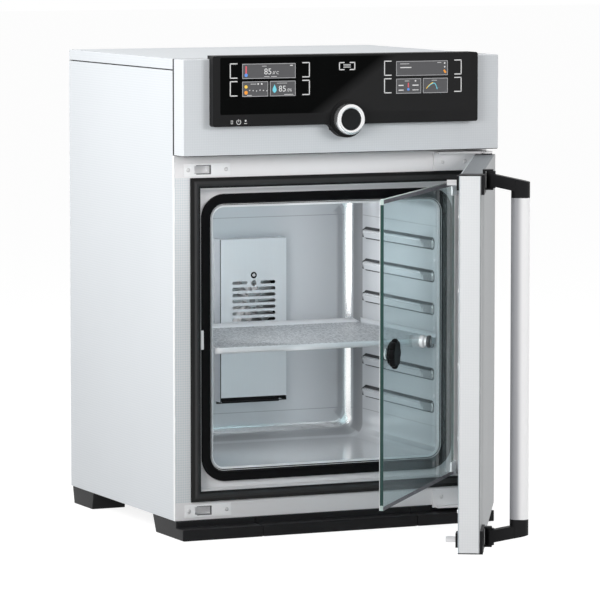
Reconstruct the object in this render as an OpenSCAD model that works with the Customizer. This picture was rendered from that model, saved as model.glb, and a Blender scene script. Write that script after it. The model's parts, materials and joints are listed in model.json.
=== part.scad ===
// Bench-top laboratory incubator with an outer door and an inner glass door, both open.
// The origin is on the floor, in the middle of the width, below the plane of the front frame.
// +X is to the right, +Y to the back and +Z up. Both doors are hinged on the right.

/* [Cabinet] */
// Width of the cabinet
cabinet_w = 560; // [554:1:640]
// Depth of the cabinet behind the plane of the front frame
cabinet_d = 463; // [455:1:560]
// Height of the cabinet's top above the floor
cabinet_h = 774.5; // [768:0.5:840]
// Height of the cabinet's underside above the floor
foot_h = 28.5; // [27.5:0.5:30]
// Thickness of the casing's sheet steel
sheet_t = 1.5; // [1:0.1:2]
// Height of the top cover's skirt
cover_skirt = 17.5; // [10:0.5:24]
// Gap below the top cover's skirt
cover_gap = 0.8; // [0.4:0.1:2]

/* [Fascia and controls] */
// Height of the fascia
fascia_h = 155; // [150:0.5:156]
// Gap between the fascia and the side panels
fascia_gap = 0.8; // [0.4:0.1:2]
// Distance from the cabinet's side to the dark control bezel
bezel_inset = 44.5; // [30:0.5:60]
// Height of the bezel below the fascia's top
bezel_drop = 107.5; // [104:0.5:120]
// How far the bezel stands in front of the fascia
bezel_d = 14; // [11:0.5:20]
// Thickness of the bezel's top flange
bezel_lip_t = 5.5; // [4:0.5:8]
// How far the top flange reaches back over the fascia
bezel_lip_d = 17; // [10:0.5:24]
// Corner radius of the bezel
bezel_r = 4; // [2:0.5:8]
// Distance from the bezel's end to the black control glass
panel_inset = 13; // [8:0.5:20]
// Height of the black control glass
panel_h = 91; // [86:0.5:93]
// Thickness of the control glass
panel_t = 2; // [1:0.1:3]
// Gap between the control glass and the bezel's top
panel_gap = 3; // [2:0.5:6]
// Width of a display
display_w = 96.5; // [80:0.5:110]
// Height of a display
display_h = 57; // [50:0.5:62]
// Thickness of a display
display_t = 3; // [2:0.5:5]
// Distance from the control glass's end to the nearest display
display_inset = 38.25; // [30:0.25:50]
// Distance of the displays' centre below the fascia's top
display_drop = 33.5; // [31:0.5:40]
// Distance of the dial's centre below the fascia's top
dial_drop = 99.3; // [96:0.1:104]
// Radius of the bezel's boss round the dial
boss_r = 30; // [28:0.5:34]
// Outer radius of the dial's ring
dial_r = 25; // [22:0.5:27]
// Inner radius of the dial's ring
dial_bore_r = 17; // [14:0.5:19]
// Depth of the dial's ring
dial_d = 15; // [12:0.5:20]
// Travel of the confirm key in the middle of the dial
key_travel = 1.5; // [0.8:0.1:2]

/* [Chamber] */
// Distance from the cabinet's side to the chamber's wall
side_wall = 75.5; // [74:0.5:80]
// Distance from the cabinet's top to the chamber's ceiling
chamber_drop = 239.1; // [239.1:0.1:250]
// Distance from the chamber's back to the cabinet's back
rear_space = 113; // [110:0.5:130]
// Height of the chamber's floor above the ground
chamber_z = 105.4; // [104:0.1:108]
// Radius of the chamber's long edges
chamber_r = 22; // [16:0.5:28]
// Radius of the coves along the chamber's rear upright edges
chamber_back_r = 32; // [24:0.5:40]
// Radius of the coves along the chamber's rear floor and ceiling edges
chamber_bend_r = 60; // [40:0.5:66]
// Number of support beads on each side wall
bead_count = 6; // [5:1:6]
// Distance from the highest bead's top to the chamber's ceiling
bead_top_gap = 69; // [60:0.5:80]
// Height of the lowest bead's top above the chamber's floor
bead_first = 88; // [80:0.5:94]
// Height of a bead
bead_h = 21; // [15:0.5:24]
// How far a bead stands out of the wall
bead_t = 9; // [7:0.5:12]
// Distance of a bead's front end from the chamber's rim
bead_inset = 18; // [14:0.5:26]
// Distance of a bead's rear end from the chamber's back
bead_back_gap = 36; // [34:0.5:50]

/* [Front frame and seals] */
// Depth of the recess that takes the glass door
recess_d = 24; // [23.5:0.5:26]
// Distance from the chamber's opening to the recess's walls
recess_margin = 30.5; // [30:0.5:33]
// Width of the outer seal
seal_w = 17; // [12:0.5:18]
// Gap between the outer seal and the shut outer door
seal_gap = 0.6; // [0.3:0.1:1.5]
// Width of the inner seal
inner_seal_w = 17; // [12:0.5:18]
// Gap between the inner seal and the glass
inner_seal_gap = 0.4; // [0.3:0.1:1]
// How far the chamber's rim stands in front of the inner frame
rim_d = 3; // [1:0.5:3.5]

/* [Shelf] */
// Bead on which the shelf rests, counted from below
shelf_level = 3; // [1:1:5]
// Gap between the shelf and the chamber's walls
shelf_gap = 5.5; // [4:0.5:7]
// Distance from the shelf's rear edge to the chamber's back
shelf_back_gap = 31; // [30.5:0.5:60]
// Thickness of the shelf's sheet
shelf_t = 1; // [0.8:0.1:1.5]
// Height of the shelf's side and rear flanges
shelf_flange = 9; // [5:0.5:14]
// Height of the shelf's front lip
shelf_lip = 9; // [5:0.5:14]
// Distance of the shelf's front from the chamber's rim
shelf_inset = 6; // [4:0.5:10]

/* [Fan] */
// Width of the fan cover
fan_cover_w = 121; // [116:1:140]
// Distance from the fan cover's top to the chamber's ceiling
fan_cover_top = 82; // [70:0.5:100]
// Depth of the fan cover
fan_cover_d = 28; // [26:0.5:36]
// Height of the fan cover's bottom above the chamber's floor
fan_cover_z = 70; // [50:0.5:80]
// Height of the air gap at the bottom of the fan cover
air_gap = 6.5; // [4:0.5:9]
// Distance of the fan's axis below the fan cover's top
fan_drop = 106; // [90:0.5:120]
// Number of slot rows in the fan cover
slot_rows = 7; // [5:1:9]
// Pitch of the slot rows
slot_pitch = 10.5; // [9:0.1:12]
// Length of a slot
slot_l = 80; // [60:1:90]
// Height of a slot
slot_h = 5.6; // [4:0.1:7]
// Radius of the fan wheel
fan_r = 50; // [40:0.5:54]
// Number of blades on the fan wheel
blade_count = 12; // [6:1:16]

/* [Outer door] */
// Thickness of the outer door
door_t = 34; // [33:0.5:36]
// Gap between the shut outer door and the frame
door_gap = 7; // [6.8:0.1:8]
// Gap between the fascia and the door's top
door_top_gap = 9.7; // [8.5:0.1:12]
// Gap between the cabinet's underside and the door's bottom
door_low_gap = 1; // [0.5:0.1:1.5]
// Distance from the cabinet's side to the door's edges
door_side_gap = 1; // [0.5:0.1:2]
// Angle at which the outer door stands open
door_open = 61; // [58:0.5:75]
// Distance of the hinge axis from the cabinet's side
hinge_inset = 13.3; // [12:0.1:15]
// Distance of the hinge axis from the door's outer face
hinge_depth = 13.4; // [12.6:0.1:14]
// Radius of the hinge pins
hinge_pin_r = 4; // [3:0.1:5]
// Length of a hinge plate along the frame
hinge_plate_l = 97; // [80:1:110]
// Height of a hinge plate on the frame
hinge_plate_h = 28; // [22:0.5:28]
// Thickness of the hinge plates
hinge_plate_t = 2.5; // [2:0.1:3]

/* [Handle and latch] */
// Distance of the latch from the door's top and bottom edges
latch_inset = 14; // [13.5:0.5:14.5]
// Distance of the latch from the door's free edge
latch_x = 52; // [46:0.5:56]
// Distance of the handle's pivot from the door's face
pivot_out = 12.5; // [12:0.1:15]
// Radius of the handle's pivot drums
drum_r = 7.2; // [6.5:0.1:7.4]
// Height of the handle's pivot drums
drum_h = 26; // [20:0.5:28]
// Reach of the handle's bar from its pivot
handle_reach = 45.5; // [40:0.5:60]
// How far a handle's arm falls from its pivot to the bar's outer face
arm_slope = 12.8; // [6:0.1:16]
// How far the handle sits above the door's middle
handle_rise = 5.3; // [0:0.1:6]
// Distance from the door's top and bottom edges to the ends of the handle's bar
bar_inset = 41.75; // [38:0.05:48]
// Width of the handle's bar
bar_w = 29; // [24:0.5:34]
// Thickness of the handle's bar
bar_t = 22; // [16:0.5:24]
// Radius of the latch pins
pin_r = 4.5; // [3:0.1:4.8]
// How far the latch pins stand out of the door's inner face
pin_out = 21; // [16:0.5:22]
// Width of a latch keeper's plate
keeper_w = 82; // [70:1:90]
// Height of a latch keeper's plate
keeper_h = 21; // [19:0.5:22]
// Width of the slot in a latch keeper
keeper_slot_w = 28; // [26:0.5:32]
// Height of the slot in a latch keeper
keeper_slot_h = 12.5; // [11.5:0.5:14]

/* [Glass door] */
// Thickness of the glass
glass_t = 6; // [5:0.5:7]
// How far the glass overlaps the chamber's opening
glass_overlap = 22.5; // [20:0.5:24]
// Angle at which the glass door stands open
glass_open = 49.5; // [46:0.5:56]
// Distance of the glass hinge's axis from the chamber's side
glass_hinge_out = 22; // [21.5:0.1:23]
// Radius of the glass hinge's pins
glass_pin_r = 2.5; // [2:0.1:3]
// Distance of the knob from the glass's free edge
knob_inset = 35; // [32:0.5:37]
// Radius of the knob
knob_r = 24; // [20:0.5:26]
// Thickness of the knob
knob_t = 9.6; // [7:0.1:9.8]
// Number of lobes round the knob
knob_lobes = 8; // [5:1:12]
// Radius of the bumper in the middle of the glass
bumper_r = 10.2; // [7:0.1:14]

/* [Feet] */
// Length of each front foot along the width
front_foot_l = 141; // [120:1:160]
// How far the front feet stand in front of the frame
foot_out = 34.5; // [25:0.5:38]
// Height of the step along the front feet
foot_step_h = 18.4; // [14:0.2:20]
// Distance of the step's wall in front of the frame
foot_step_out = 6; // [4:0.5:10]
// Depth of the front feet behind the frame
front_foot_d = 96; // [80:1:110]
// Width of a rear foot
rear_foot_w = 60; // [40:1:80]
// Depth of a rear foot
rear_foot_d = 100; // [80:1:120]
// How far a rear foot stays inside the cabinet's back
rear_foot_inset = 5.5; // [2:0.5:12]
// Slope of the feet, measured along the floor
foot_taper = 14; // [6:0.5:18]

/* [Hidden] */
$fn = 64;
eps = 0.01;
cut = 1;
run_gap = 0.05;
free_gap = 0.3;
half_w = cabinet_w / 2;
fascia_z = cabinet_h - fascia_h;
fascia_y = -door_gap - door_t;
bezel_y = fascia_y - bezel_d;
bezel_w = cabinet_w - 2 * bezel_inset;
panel_w = bezel_w - 2 * panel_inset;
display_x = panel_w / 2 - display_inset - display_w / 2;
dial_z = cabinet_h - dial_drop;
display_z = cabinet_h - display_drop;
panel_top = cabinet_h + bezel_lip_t - panel_gap;
panel_mid = panel_top - panel_h / 2;

chamber_w = cabinet_w - 2 * side_wall;
chamber_h = cabinet_h - chamber_drop - chamber_z;
chamber_hw = chamber_w / 2;
chamber_mid = chamber_z + chamber_h / 2;
frame_y = recess_d;
rim_y = frame_y - rim_d;
back_y = cabinet_d - rear_space;
chamber_d = back_y - rim_y;
recess_w = chamber_w + 2 * recess_margin;
recess_h = chamber_h + 2 * recess_margin;
recess_r = 2.5;
seal_r = 1.5;
recess_in = recess_w / 2 - sheet_t;
seal_t = door_gap - seal_gap;
bead_y = rim_y + bead_inset;
bead_l = chamber_d - bead_inset - bead_back_gap;
bead_pitch = (chamber_h - bead_first - bead_top_gap) / (bead_count - 1);
cove_sink = 1.2;

door_y = fascia_y;
door_in = door_y + door_t;
door_skin = door_in - sheet_t;
door_hw = half_w - door_side_gap;
door_z = foot_h + door_low_gap;
door_top = fascia_z - door_top_gap;
door_h = door_top - door_z;
door_mid = (door_top + door_z) / 2;
bar_l = door_h - 2 * bar_inset;
handle_mid = door_mid + handle_rise;
hinge_x = half_w - hinge_inset;
hinge_y = door_y + hinge_depth;
hinge_gap = 1.8;
leaf_t = 3.4;
leaf_r = 9;
leaf_lead = 40;
leaf_step = 4;
leaf_start = 4;
leaf_out = 14;
hinge_screw_end = 16;
hinge_screw_lead = 40;
bush_r = 7;
bush_l = 20;
bush_flange_r = 9;
bush_flange_t = hinge_gap - free_gap;

pin_x = -door_hw + latch_x;
latch_top = door_top - latch_inset;
latch_low = door_z + latch_inset;
drum_z = latch_top + handle_rise;
latch_hub_in = 7;
latch_hub_y = door_in - latch_hub_in;
latch_hub_r = 6;
latch_hub_h = 12;
latch_axle_r = 2.5;
core_w = 28;
core_h = 22;
core_out = 5.5;
core_wall = 2.5;
block_t = 4.5;
block_w = latch_x + core_w / 2 + 6;
block_h = 2 * latch_inset + 1;
cap_t = 1.2;
cap_w = 36;
pivot_y = door_y - pivot_out;
pivot_r = 4;
ear_t = 2.5;
ear_w = 14;
grip_y = pivot_y - handle_reach;
arm_w = 20;
arm_h = 19;
keeper_proud = 1;
keeper_wall = 2.5;
keeper_end_gap = 4;
keeper_depth = pin_out - door_gap + keeper_end_gap;
keeper_slot_shift = 3.5;
keeper_slot_x = pin_x - keeper_slot_shift;
keeper_plate_shift = 8;
keeper_x = keeper_slot_x + keeper_plate_shift;

glass_rim_gap = 3.8;
glass_in = rim_y - glass_rim_gap;
glass_y = glass_in - glass_t;
inner_seal_t = frame_y - glass_in - inner_seal_gap;
glass_left = -chamber_hw - glass_overlap;
glass_hinge_gap = 7.5;
glass_right = chamber_hw + glass_hinge_out - glass_hinge_gap;
glass_z = chamber_z - glass_overlap;
glass_top = chamber_z + chamber_h + glass_overlap;
pane_gap = 0.5;
pane_edge = recess_margin - sheet_t - glass_overlap - pane_gap;
glass_axis_x = chamber_hw + glass_hinge_out;
glass_axis_y = glass_in - glass_t / 2;
glass_mid_x = (glass_left + glass_axis_x) / 2;
knuckle_r = 5;
clamp_h = 16;
clamp_t = 3;
clamp_l = 22;
bracket_t = 3;
bracket_gap = 2;
knob_x = glass_left + knob_inset;
knob_z = chamber_mid;
bush_head_r = 9.5;
bush_head_t = 4.5;
bush_nut_t = 3;
bush_stem_r = 5;
spindle_r = 3;
tongue_t = 2.2;
tongue_w = 10;
strike_h = 31;
strike_t = 2.2;
strike_lip_t = 2;
strike_x = -recess_in + strike_t;
strike_gap = 0.9;
tongue_reach = knob_x - strike_x - strike_gap;
tongue_y = glass_y - bush_head_t - free_gap - tongue_t;
knob_y = tongue_y - free_gap / 2 - knob_t;
bumper_gap = 0.7;
bumper_l = glass_y - door_in - bumper_gap;

shelf_z = chamber_z + bead_first + bead_pitch * (shelf_level - 1) + free_gap / 2;
shelf_y = rim_y + shelf_inset;
shelf_hw = chamber_hw - shelf_gap;
shelf_d = chamber_d - shelf_inset - shelf_back_gap;
fan_cover_h = chamber_h - fan_cover_z - fan_cover_top;
fan_z = fan_cover_z + fan_cover_h - fan_drop;
fan_y = back_y - fan_cover_d;
fan_axis_z = chamber_z + fan_z;
fan_shaft_r = 5;
fan_shaft_gap = 0.03;
motor_r = 38;
motor_l = 74;
motor_y = back_y + sheet_t;
insulation_t = 30;
insulation_y = frame_y + 6;
mat_t = 1;
mat_inset = 60;
mat_gap = 20;
supply_w = cabinet_w / 4;
supply_d = cabinet_d * 0.4;
supply_h = 60;
supply_side = cabinet_w / 20;
steam_w = cabinet_w * 0.16;
steam_side = cabinet_w * 0.34;
steam_h = cabinet_h / 5;
steam_pipe_r = 8;
steam_pipe_l = 25;
steam_gap = 10;
rear_y = cabinet_d - sheet_t;
board_t = 1.6;
board_gap = 8;
board_margin = 40;
board_edge = 15;
post_inset = 12;
post_r = 3.5;
screw_r = 3.4;
screw_t = 1.6;
door_screw_count = 5;
door_screw_side = 10;
door_screw_pitch = door_h * 0.195;

// Shared shapes

// A box between two corners
module block(low, high) {
    translate(low) cube(high - low);
}

// A flat outline in X and Z, given its depth from y0 to y1
module upright(y0, y1) {
    translate([0, y1, 0]) rotate([90, 0, 0]) linear_extrude(y1 - y0) children();
}

// A flat outline in Y and Z, given its width from x0 to x1
module sideways(x0, x1) {
    translate([x0, 0, 0]) rotate([90, 0, 90]) linear_extrude(x1 - x0) children();
}

// A rectangle with round corners, centred
module rounded(w, h, r) {
    square([w - 2 * r, h], center = true);
    square([w, h - 2 * r], center = true);
    for (x = [-1, 1], y = [-1, 1])
        translate([x * (w / 2 - r), y * (h / 2 - r)]) circle(r);
}

// A slot with round ends, centred
module slot(l, h) {
    square([l - h, h], center = true);
    for (x = [-1, 1]) translate([x * (l - h) / 2, 0]) circle(h / 2);
}

// A round bar along Y between y0 and y1
module bar_y(r, y0, y1, x, z) {
    translate([x, y1, z]) rotate([90, 0, 0]) cylinder(r = r, h = y1 - y0);
}

// A round bar along Z between z0 and z1
module bar_z(r, z0, z1, x, y) {
    translate([x, y, z0]) cylinder(r = r, h = z1 - z0);
}

// A mirrored pair about the vertical plane in the middle
module both_sides() {
    children();
    mirror([1, 0, 0]) children();
}

// The upside-down twin of a piece, mirrored about a height
module flipped(z) {
    translate([0, 0, z]) mirror([0, 0, 1]) translate([0, 0, -z]) children();
}

// Turns a piece that is drawn with its door shut to the open position
module on_outer_door() {
    translate([hinge_x, hinge_y, 0]) rotate([0, 0, door_open])
        translate([-hinge_x, -hinge_y, 0]) children();
}

module on_glass_door() {
    translate([glass_axis_x, glass_axis_y, 0]) rotate([0, 0, glass_open])
        translate([-glass_axis_x, -glass_axis_y, 0]) children();
}

// Casing

module left_side_panel() {
    color("lightsteelblue")
        block([-half_w, 0, foot_h], [-half_w + sheet_t, cabinet_d, cabinet_h - cover_skirt - cover_gap]);
}

module right_side_panel() {
    mirror([1, 0, 0]) left_side_panel();
}

inlet_side = 90;
inlet_rise = 60;
inlet_x = half_w - inlet_side;
inlet_z = foot_h + inlet_rise;
inlet_w = 28;
inlet_h = 20;
inlet_wall = 2;
inlet_flange_w = 10;
inlet_flange_h = 4;
vent_rows = 9;
vent_pitch = 12;
vent_l = 90;
vent_h = 4;
vent_x = half_w * 3 / 7;
vent_drop = 142;

module rear_panel() {
    color("silver") difference() {
        block([-half_w + sheet_t, rear_y, foot_h],
              [half_w - sheet_t, cabinet_d, cabinet_h - cover_skirt - cover_gap]);
        for (x = [-vent_x, vent_x], i = [0 : vent_rows - 1])
            upright(rear_y - cut, cabinet_d + cut)
                translate([x, cabinet_h - vent_drop + i * vent_pitch]) slot(vent_l, vent_h);
        upright(rear_y - cut, cabinet_d + cut) translate([inlet_x, inlet_z])
            square([inlet_w + 2 * inlet_wall, inlet_h + 2 * inlet_wall], center = true);
    }
}

module top_cover() {
    color("lightsteelblue") difference() {
        block([-half_w, 0, cabinet_h - cover_skirt], [half_w, cabinet_d, cabinet_h]);
        block([-half_w + sheet_t, -cut, cabinet_h - cover_skirt - cut],
              [half_w - sheet_t, rear_y, cabinet_h - sheet_t]);
    }
}

module base_pan() {
    color("silver")
        block([-half_w + sheet_t, sheet_t, foot_h], [half_w - sheet_t, rear_y, foot_h + sheet_t]);
}

// Front frame, inner frame and seals

// The hole that a latch keeper's box passes through
module keeper_window(z) {
    translate([keeper_slot_x, z])
        square([keeper_slot_w + 2 * keeper_wall, keeper_slot_h + 2 * keeper_wall], center = true);
}

module front_frame() {
    color("gainsboro") upright(0, sheet_t) difference() {
        translate([-half_w + sheet_t, foot_h]) square([cabinet_w - 2 * sheet_t, fascia_z - foot_h]);
        translate([0, chamber_mid]) rounded(recess_w, recess_h, recess_r);
        keeper_window(latch_top);
        keeper_window(latch_low);
    }
}

module inner_frame() {
    wall_r = recess_r - sheet_t;
    color("gainsboro") difference() {
        upright(0, frame_y + sheet_t) translate([0, chamber_mid]) rounded(recess_w, recess_h, recess_r);
        upright(-cut, frame_y) translate([0, chamber_mid])
            rounded(recess_w - 2 * sheet_t, recess_h - 2 * sheet_t, wall_r);
        upright(frame_y - cut, frame_y + sheet_t + cut) translate([0, chamber_mid])
            rounded(chamber_w + 2 * sheet_t, chamber_h + 2 * sheet_t, chamber_r + sheet_t);
    }
}

module outer_seal() {
    color("#1a1a1c") upright(-seal_t, 0) translate([0, chamber_mid]) difference() {
        rounded(recess_w + 2 * seal_w, recess_h + 2 * seal_w, seal_r);
        rounded(recess_w, recess_h, recess_r);
    }
}

module inner_seal() {
    inner_w = chamber_w + 2 * sheet_t + 1;
    inner_h = chamber_h + 2 * sheet_t + 1;
    color("#1a1a1c") upright(frame_y - inner_seal_t, frame_y) translate([0, chamber_mid]) difference() {
        rounded(inner_w + 2 * inner_seal_w, inner_h + 2 * inner_seal_w, chamber_r + inner_seal_w);
        rounded(inner_w, inner_h, chamber_r + sheet_t);
    }
}

// Chamber

// The section of a cove that fills the corner at the origin; its arc crosses both walls
module cove(r) {
    middle = cove_sink - r;
    difference() {
        translate([-r, -r]) square(r + cut);
        translate([middle, middle]) circle(r);
    }
}

// The coves along the chamber's four rear edges, which reach a little past its walls
module rear_coves() {
    both_sides() translate([chamber_hw, back_y, 0]) linear_extrude(cabinet_h) cove(chamber_back_r);
    for (side = [0, 1]) translate([0, 0, chamber_mid]) mirror([0, 0, side])
        sideways(-chamber_w, chamber_w) translate([back_y, chamber_h / 2]) cove(chamber_bend_r);
}

// The chamber's section, grown by a margin
module chamber_outline(grow) {
    translate([0, chamber_mid])
        rounded(chamber_w + 2 * grow, chamber_h + 2 * grow, chamber_r + grow);
}

probe_r = 3;
probe_drop = 32;
probe_z = chamber_z + fan_cover_z + fan_cover_h - probe_drop;
probe_x = 35;

module inner_chamber() {
    color("lightslategray") upright(rim_y, back_y + sheet_t) difference() {
        chamber_outline(sheet_t);
        chamber_outline(0);
    }
}

module chamber_back() {
    color("lightslategray") difference() {
        union() {
            upright(back_y, back_y + sheet_t) chamber_outline(0);
            intersection() {
                upright(back_y - chamber_bend_r, back_y + sheet_t) chamber_outline(0);
                rear_coves();
            }
        }
        bar_y(fan_shaft_r + 1, back_y - cut, back_y + sheet_t + cut, 0, fan_axis_z);
        for (x = [-probe_x, probe_x])
            bar_y(probe_r + run_gap, back_y - cut, back_y + sheet_t + cut, x, probe_z);
    }
}

module wall_beads() {
    color("lightslategray") both_sides() for (i = [0 : bead_count - 1])
        sideways(chamber_hw - bead_t, chamber_hw)
            translate([bead_y + bead_l / 2, chamber_z + bead_first + i * bead_pitch - bead_h / 2])
                rounded(bead_l, bead_h, bead_h * 0.35);
}

module heater_mats() {
    mat_y0 = bead_y + mat_gap;
    mat_y1 = back_y - chamber_bend_r - mat_gap / 2;
    side_x = chamber_hw + sheet_t;
    color("peru") {
        both_sides() block([side_x, mat_y0, chamber_z + mat_inset],
                           [side_x + mat_t, mat_y1, chamber_z + chamber_h - mat_inset]);
        for (z = [chamber_z - sheet_t - mat_t, chamber_z + chamber_h + sheet_t])
            block([-chamber_hw + mat_inset, mat_y0, z], [chamber_hw - mat_inset, mat_y1, z + mat_t]);
    }
}

module insulation() {
    side = chamber_hw + sheet_t + mat_t;
    low = chamber_z - sheet_t - mat_t;
    high = chamber_z + chamber_h + sheet_t + mat_t;
    back = back_y + sheet_t;
    floor_z = foot_h + sheet_t;
    wall_x = half_w - sheet_t;
    color("khaki") {
        both_sides() block([side, insulation_y, floor_z], [wall_x, back, high + insulation_t]);
        block([-side, insulation_y, floor_z], [side, back, low]);
        block([-side, insulation_y, high], [side, back, high + insulation_t]);
        difference() {
            block([-wall_x, back, floor_z], [wall_x, back + insulation_t, high + insulation_t]);
            bar_y(motor_r + 1, back - cut, back + insulation_t + cut, 0, fan_axis_z);
            for (x = [-probe_x, probe_x])
                bar_y(probe_r + 1, back - cut, back + insulation_t + cut, x, probe_z);
        }
    }
}

// Fan and sensors

keyhole_r = 5;
keyhole_gap = 7;
cover_screw_rise = 12.5;
first_row = fan_axis_z + (slot_rows - 1) / 2 * slot_pitch;
cover_screw_z = first_row + cover_screw_rise;

module fan_cover() {
    low = chamber_z + fan_cover_z;
    high = low + fan_cover_h;
    hw = fan_cover_w / 2;
    t = sheet_t;
    half_l = slot_l / 2 - keyhole_r - keyhole_gap;
    color("lightslategray") difference() {
        block([-hw, fan_y, low], [hw, back_y, high]);
        block([-hw + t, fan_y + t, low - cut], [hw - t, back_y + cut, high - t]);
        block([-hw - cut, fan_y - cut, low + t], [hw - t, fan_y + 2 * t, low + t + air_gap]);
        upright(fan_y - cut, fan_y + t + cut) {
            for (i = [1 : slot_rows - 1]) translate([0, first_row - i * slot_pitch]) slot(slot_l, slot_h);
            for (x = [-1, 1]) translate([x * (slot_l - half_l) / 2, first_row]) slot(half_l, slot_h);
            translate([0, first_row - 1]) circle(keyhole_r);
        }
        bar_y(screw_r - 1, fan_y - cut, fan_y + t + cut, 0, cover_screw_z);
    }
}

module fan_cover_screw() {
    color("silver") {
        bar_y(screw_r, fan_y - screw_t, fan_y, 0, cover_screw_z);
        bar_y(screw_r - 1 - run_gap, fan_y - eps, fan_y + 5, 0, cover_screw_z);
    }
}

module fan_motor() {
    color("dimgray") {
        bar_y(motor_r, motor_y, motor_y + motor_l, 0, fan_axis_z);
        bar_y(fan_shaft_r, fan_y + 6, motor_y + 1, 0, fan_axis_z);
    }
}

module fan_wheel() {
    y0 = fan_y + 7;
    y1 = back_y - 4;
    hub_r = 11;
    disc_t = 1.5;
    blade_t = 1.5;
    color("silver") difference() {
        union() {
            bar_y(hub_r, y0, y1, 0, fan_axis_z);
            bar_y(fan_r, y1 - disc_t, y1, 0, fan_axis_z);
            for (i = [0 : blade_count - 1])
                translate([0, 0, fan_axis_z]) rotate([0, i * 360 / blade_count, 0])
                    block([hub_r - 1, y0 + 2, -blade_t / 2], [fan_r - 1, y1 - disc_t / 2, blade_t / 2]);
        }
        bar_y(fan_shaft_r + fan_shaft_gap, y0 - cut, y1 + cut, 0, fan_axis_z);
    }
}

module temperature_probe() {
    color("silver") {
        bar_y(probe_r, fan_y + 6, back_y + insulation_t, -probe_x, probe_z);
        bar_y(probe_r + 2, back_y - 3, back_y, -probe_x, probe_z);
    }
}

module humidity_sensor() {
    color("gray") {
        bar_y(probe_r, fan_y + 10, back_y + insulation_t, probe_x, probe_z);
        bar_y(probe_r + 3, fan_y + 6, back_y, probe_x, probe_z);
    }
}

module steam_generator() {
    d = rear_y - back_y - sheet_t - insulation_t - steam_gap;
    z0 = foot_h + sheet_t;
    x0 = -steam_side;
    color("darkgray") {
        block([x0, rear_y - d, z0], [x0 + steam_w, rear_y, z0 + steam_h]);
        bar_z(steam_pipe_r, z0 + steam_h - eps, z0 + steam_h + steam_pipe_l, x0 + steam_w / 2, rear_y - d / 2);
    }
}

// Fascia and controls

module fascia() {
    y1 = -fascia_gap;
    t = sheet_t;
    color("lightsteelblue") difference() {
        block([-half_w, fascia_y, fascia_z], [half_w, y1, cabinet_h]);
        block([-half_w + t, fascia_y + t, fascia_z + t], [half_w - t, y1 + cut, cabinet_h - t]);
        bar_y(encoder_neck_r + 1, fascia_y - cut, fascia_y + t + cut, 0, dial_z);
    }
}

encoder_neck_r = 6;
encoder_hw = 10;
encoder_d = board_gap + board_t + 6;
encoder_shaft_r = 3;
dial_y1 = bezel_y - 3;
dial_y0 = dial_y1 - dial_d;
dial_web = 3;
key_r = dial_bore_r - free_gap;
key_t = 6;
key_y0 = dial_y0 + 2;

// The bezel's outline: a wide bar with a round boss for the dial
module bezel_outline() {
    low = cabinet_h - bezel_drop;
    high = cabinet_h + bezel_lip_t;
    fillet = 10;
    translate([0, (low + high) / 2]) rounded(bezel_w, high - low, bezel_r);
    translate([0, dial_z]) circle(boss_r);
    reach = sqrt(pow(boss_r + fillet, 2) - pow(low - fillet - dial_z, 2));
    difference() {
        translate([-reach, low - fillet]) square([2 * reach, fillet + 1]);
        for (x = [-1, 1]) translate([x * reach, low - fillet]) circle(fillet);
        translate([-reach, low - fillet - 1]) square([2 * reach, 1]);
    }
}

module control_bezel() {
    color("#2a2b2d") difference() {
        union() {
            upright(bezel_y, fascia_y) bezel_outline();
            bar_y(boss_r, bezel_y - 2, bezel_y + 1, 0, dial_z);
            block([-bezel_w / 2 + bezel_r, fascia_y - 1, cabinet_h],
                  [bezel_w / 2 - bezel_r, fascia_y + bezel_lip_d, cabinet_h + bezel_lip_t]);
        }
        upright(bezel_y - cut, bezel_y + panel_t) control_glass_outline();
        for (x = [-display_x, display_x])
            block([x - display_w / 2, bezel_y, display_z - display_h / 2],
                  [x + display_w / 2, bezel_y + panel_t + display_t, display_z + display_h / 2]);
        bar_y(encoder_neck_r + run_gap, bezel_y - 2 - cut, fascia_y + cut, 0, dial_z);
    }
}

module control_glass_outline() {
    difference() {
        translate([0, panel_mid]) rounded(panel_w, panel_h, 2);
        translate([0, dial_z]) circle(boss_r);
    }
}

module control_glass() {
    color("#08080a") upright(bezel_y, bezel_y + panel_t) control_glass_outline();
}

module displays() {
    y = bezel_y + panel_t;
    color("#3a3f45") for (x = [-display_x, display_x])
        block([x - display_w / 2, y, display_z - display_h / 2],
              [x + display_w / 2, y + display_t, display_z + display_h / 2]);
}

module control_board() {
    y = fascia_y + sheet_t + board_gap;
    x = bezel_w / 2 - board_margin;
    z0 = fascia_z + board_edge;
    z1 = cabinet_h - board_edge;
    color("darkgreen") difference() {
        union() {
            block([-x, y, z0], [x, y + board_t, z1]);
            for (px = [-x + post_inset, x - post_inset], pz = [z0 + post_inset, z1 - post_inset])
                bar_y(post_r, fascia_y + sheet_t, y + eps, px, pz);
        }
        bar_y(encoder_hw * 1.5, y - cut, y + board_t + cut, 0, dial_z);
    }
}

module power_supply() {
    z0 = chamber_z + chamber_h + sheet_t + mat_t + insulation_t;
    y0 = (cabinet_d - supply_d) / 2;
    color("gray")
        block([-supply_side - supply_w, y0, z0], [-supply_side, y0 + supply_d, z0 + supply_h]);
}

module dial_encoder() {
    y_back = fascia_y + sheet_t;
    color("dimgray") {
        bar_y(encoder_neck_r, bezel_y - 1, y_back + eps, 0, dial_z);
        bar_y(encoder_shaft_r, dial_y1 - dial_web, bezel_y - 1 + eps, 0, dial_z);
        block([-encoder_hw, y_back, dial_z - encoder_hw],
              [encoder_hw, y_back + encoder_d, dial_z + encoder_hw]);
    }
}

module dial_ring() {
    color("gainsboro") difference() {
        bar_y(dial_r, dial_y0, dial_y1, 0, dial_z);
        bar_y(dial_bore_r, dial_y0 - cut, dial_y1 - dial_web, 0, dial_z);
        bar_y(encoder_shaft_r + run_gap, dial_y1 - dial_web - cut, dial_y1 + cut, 0, dial_z);
    }
}

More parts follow.
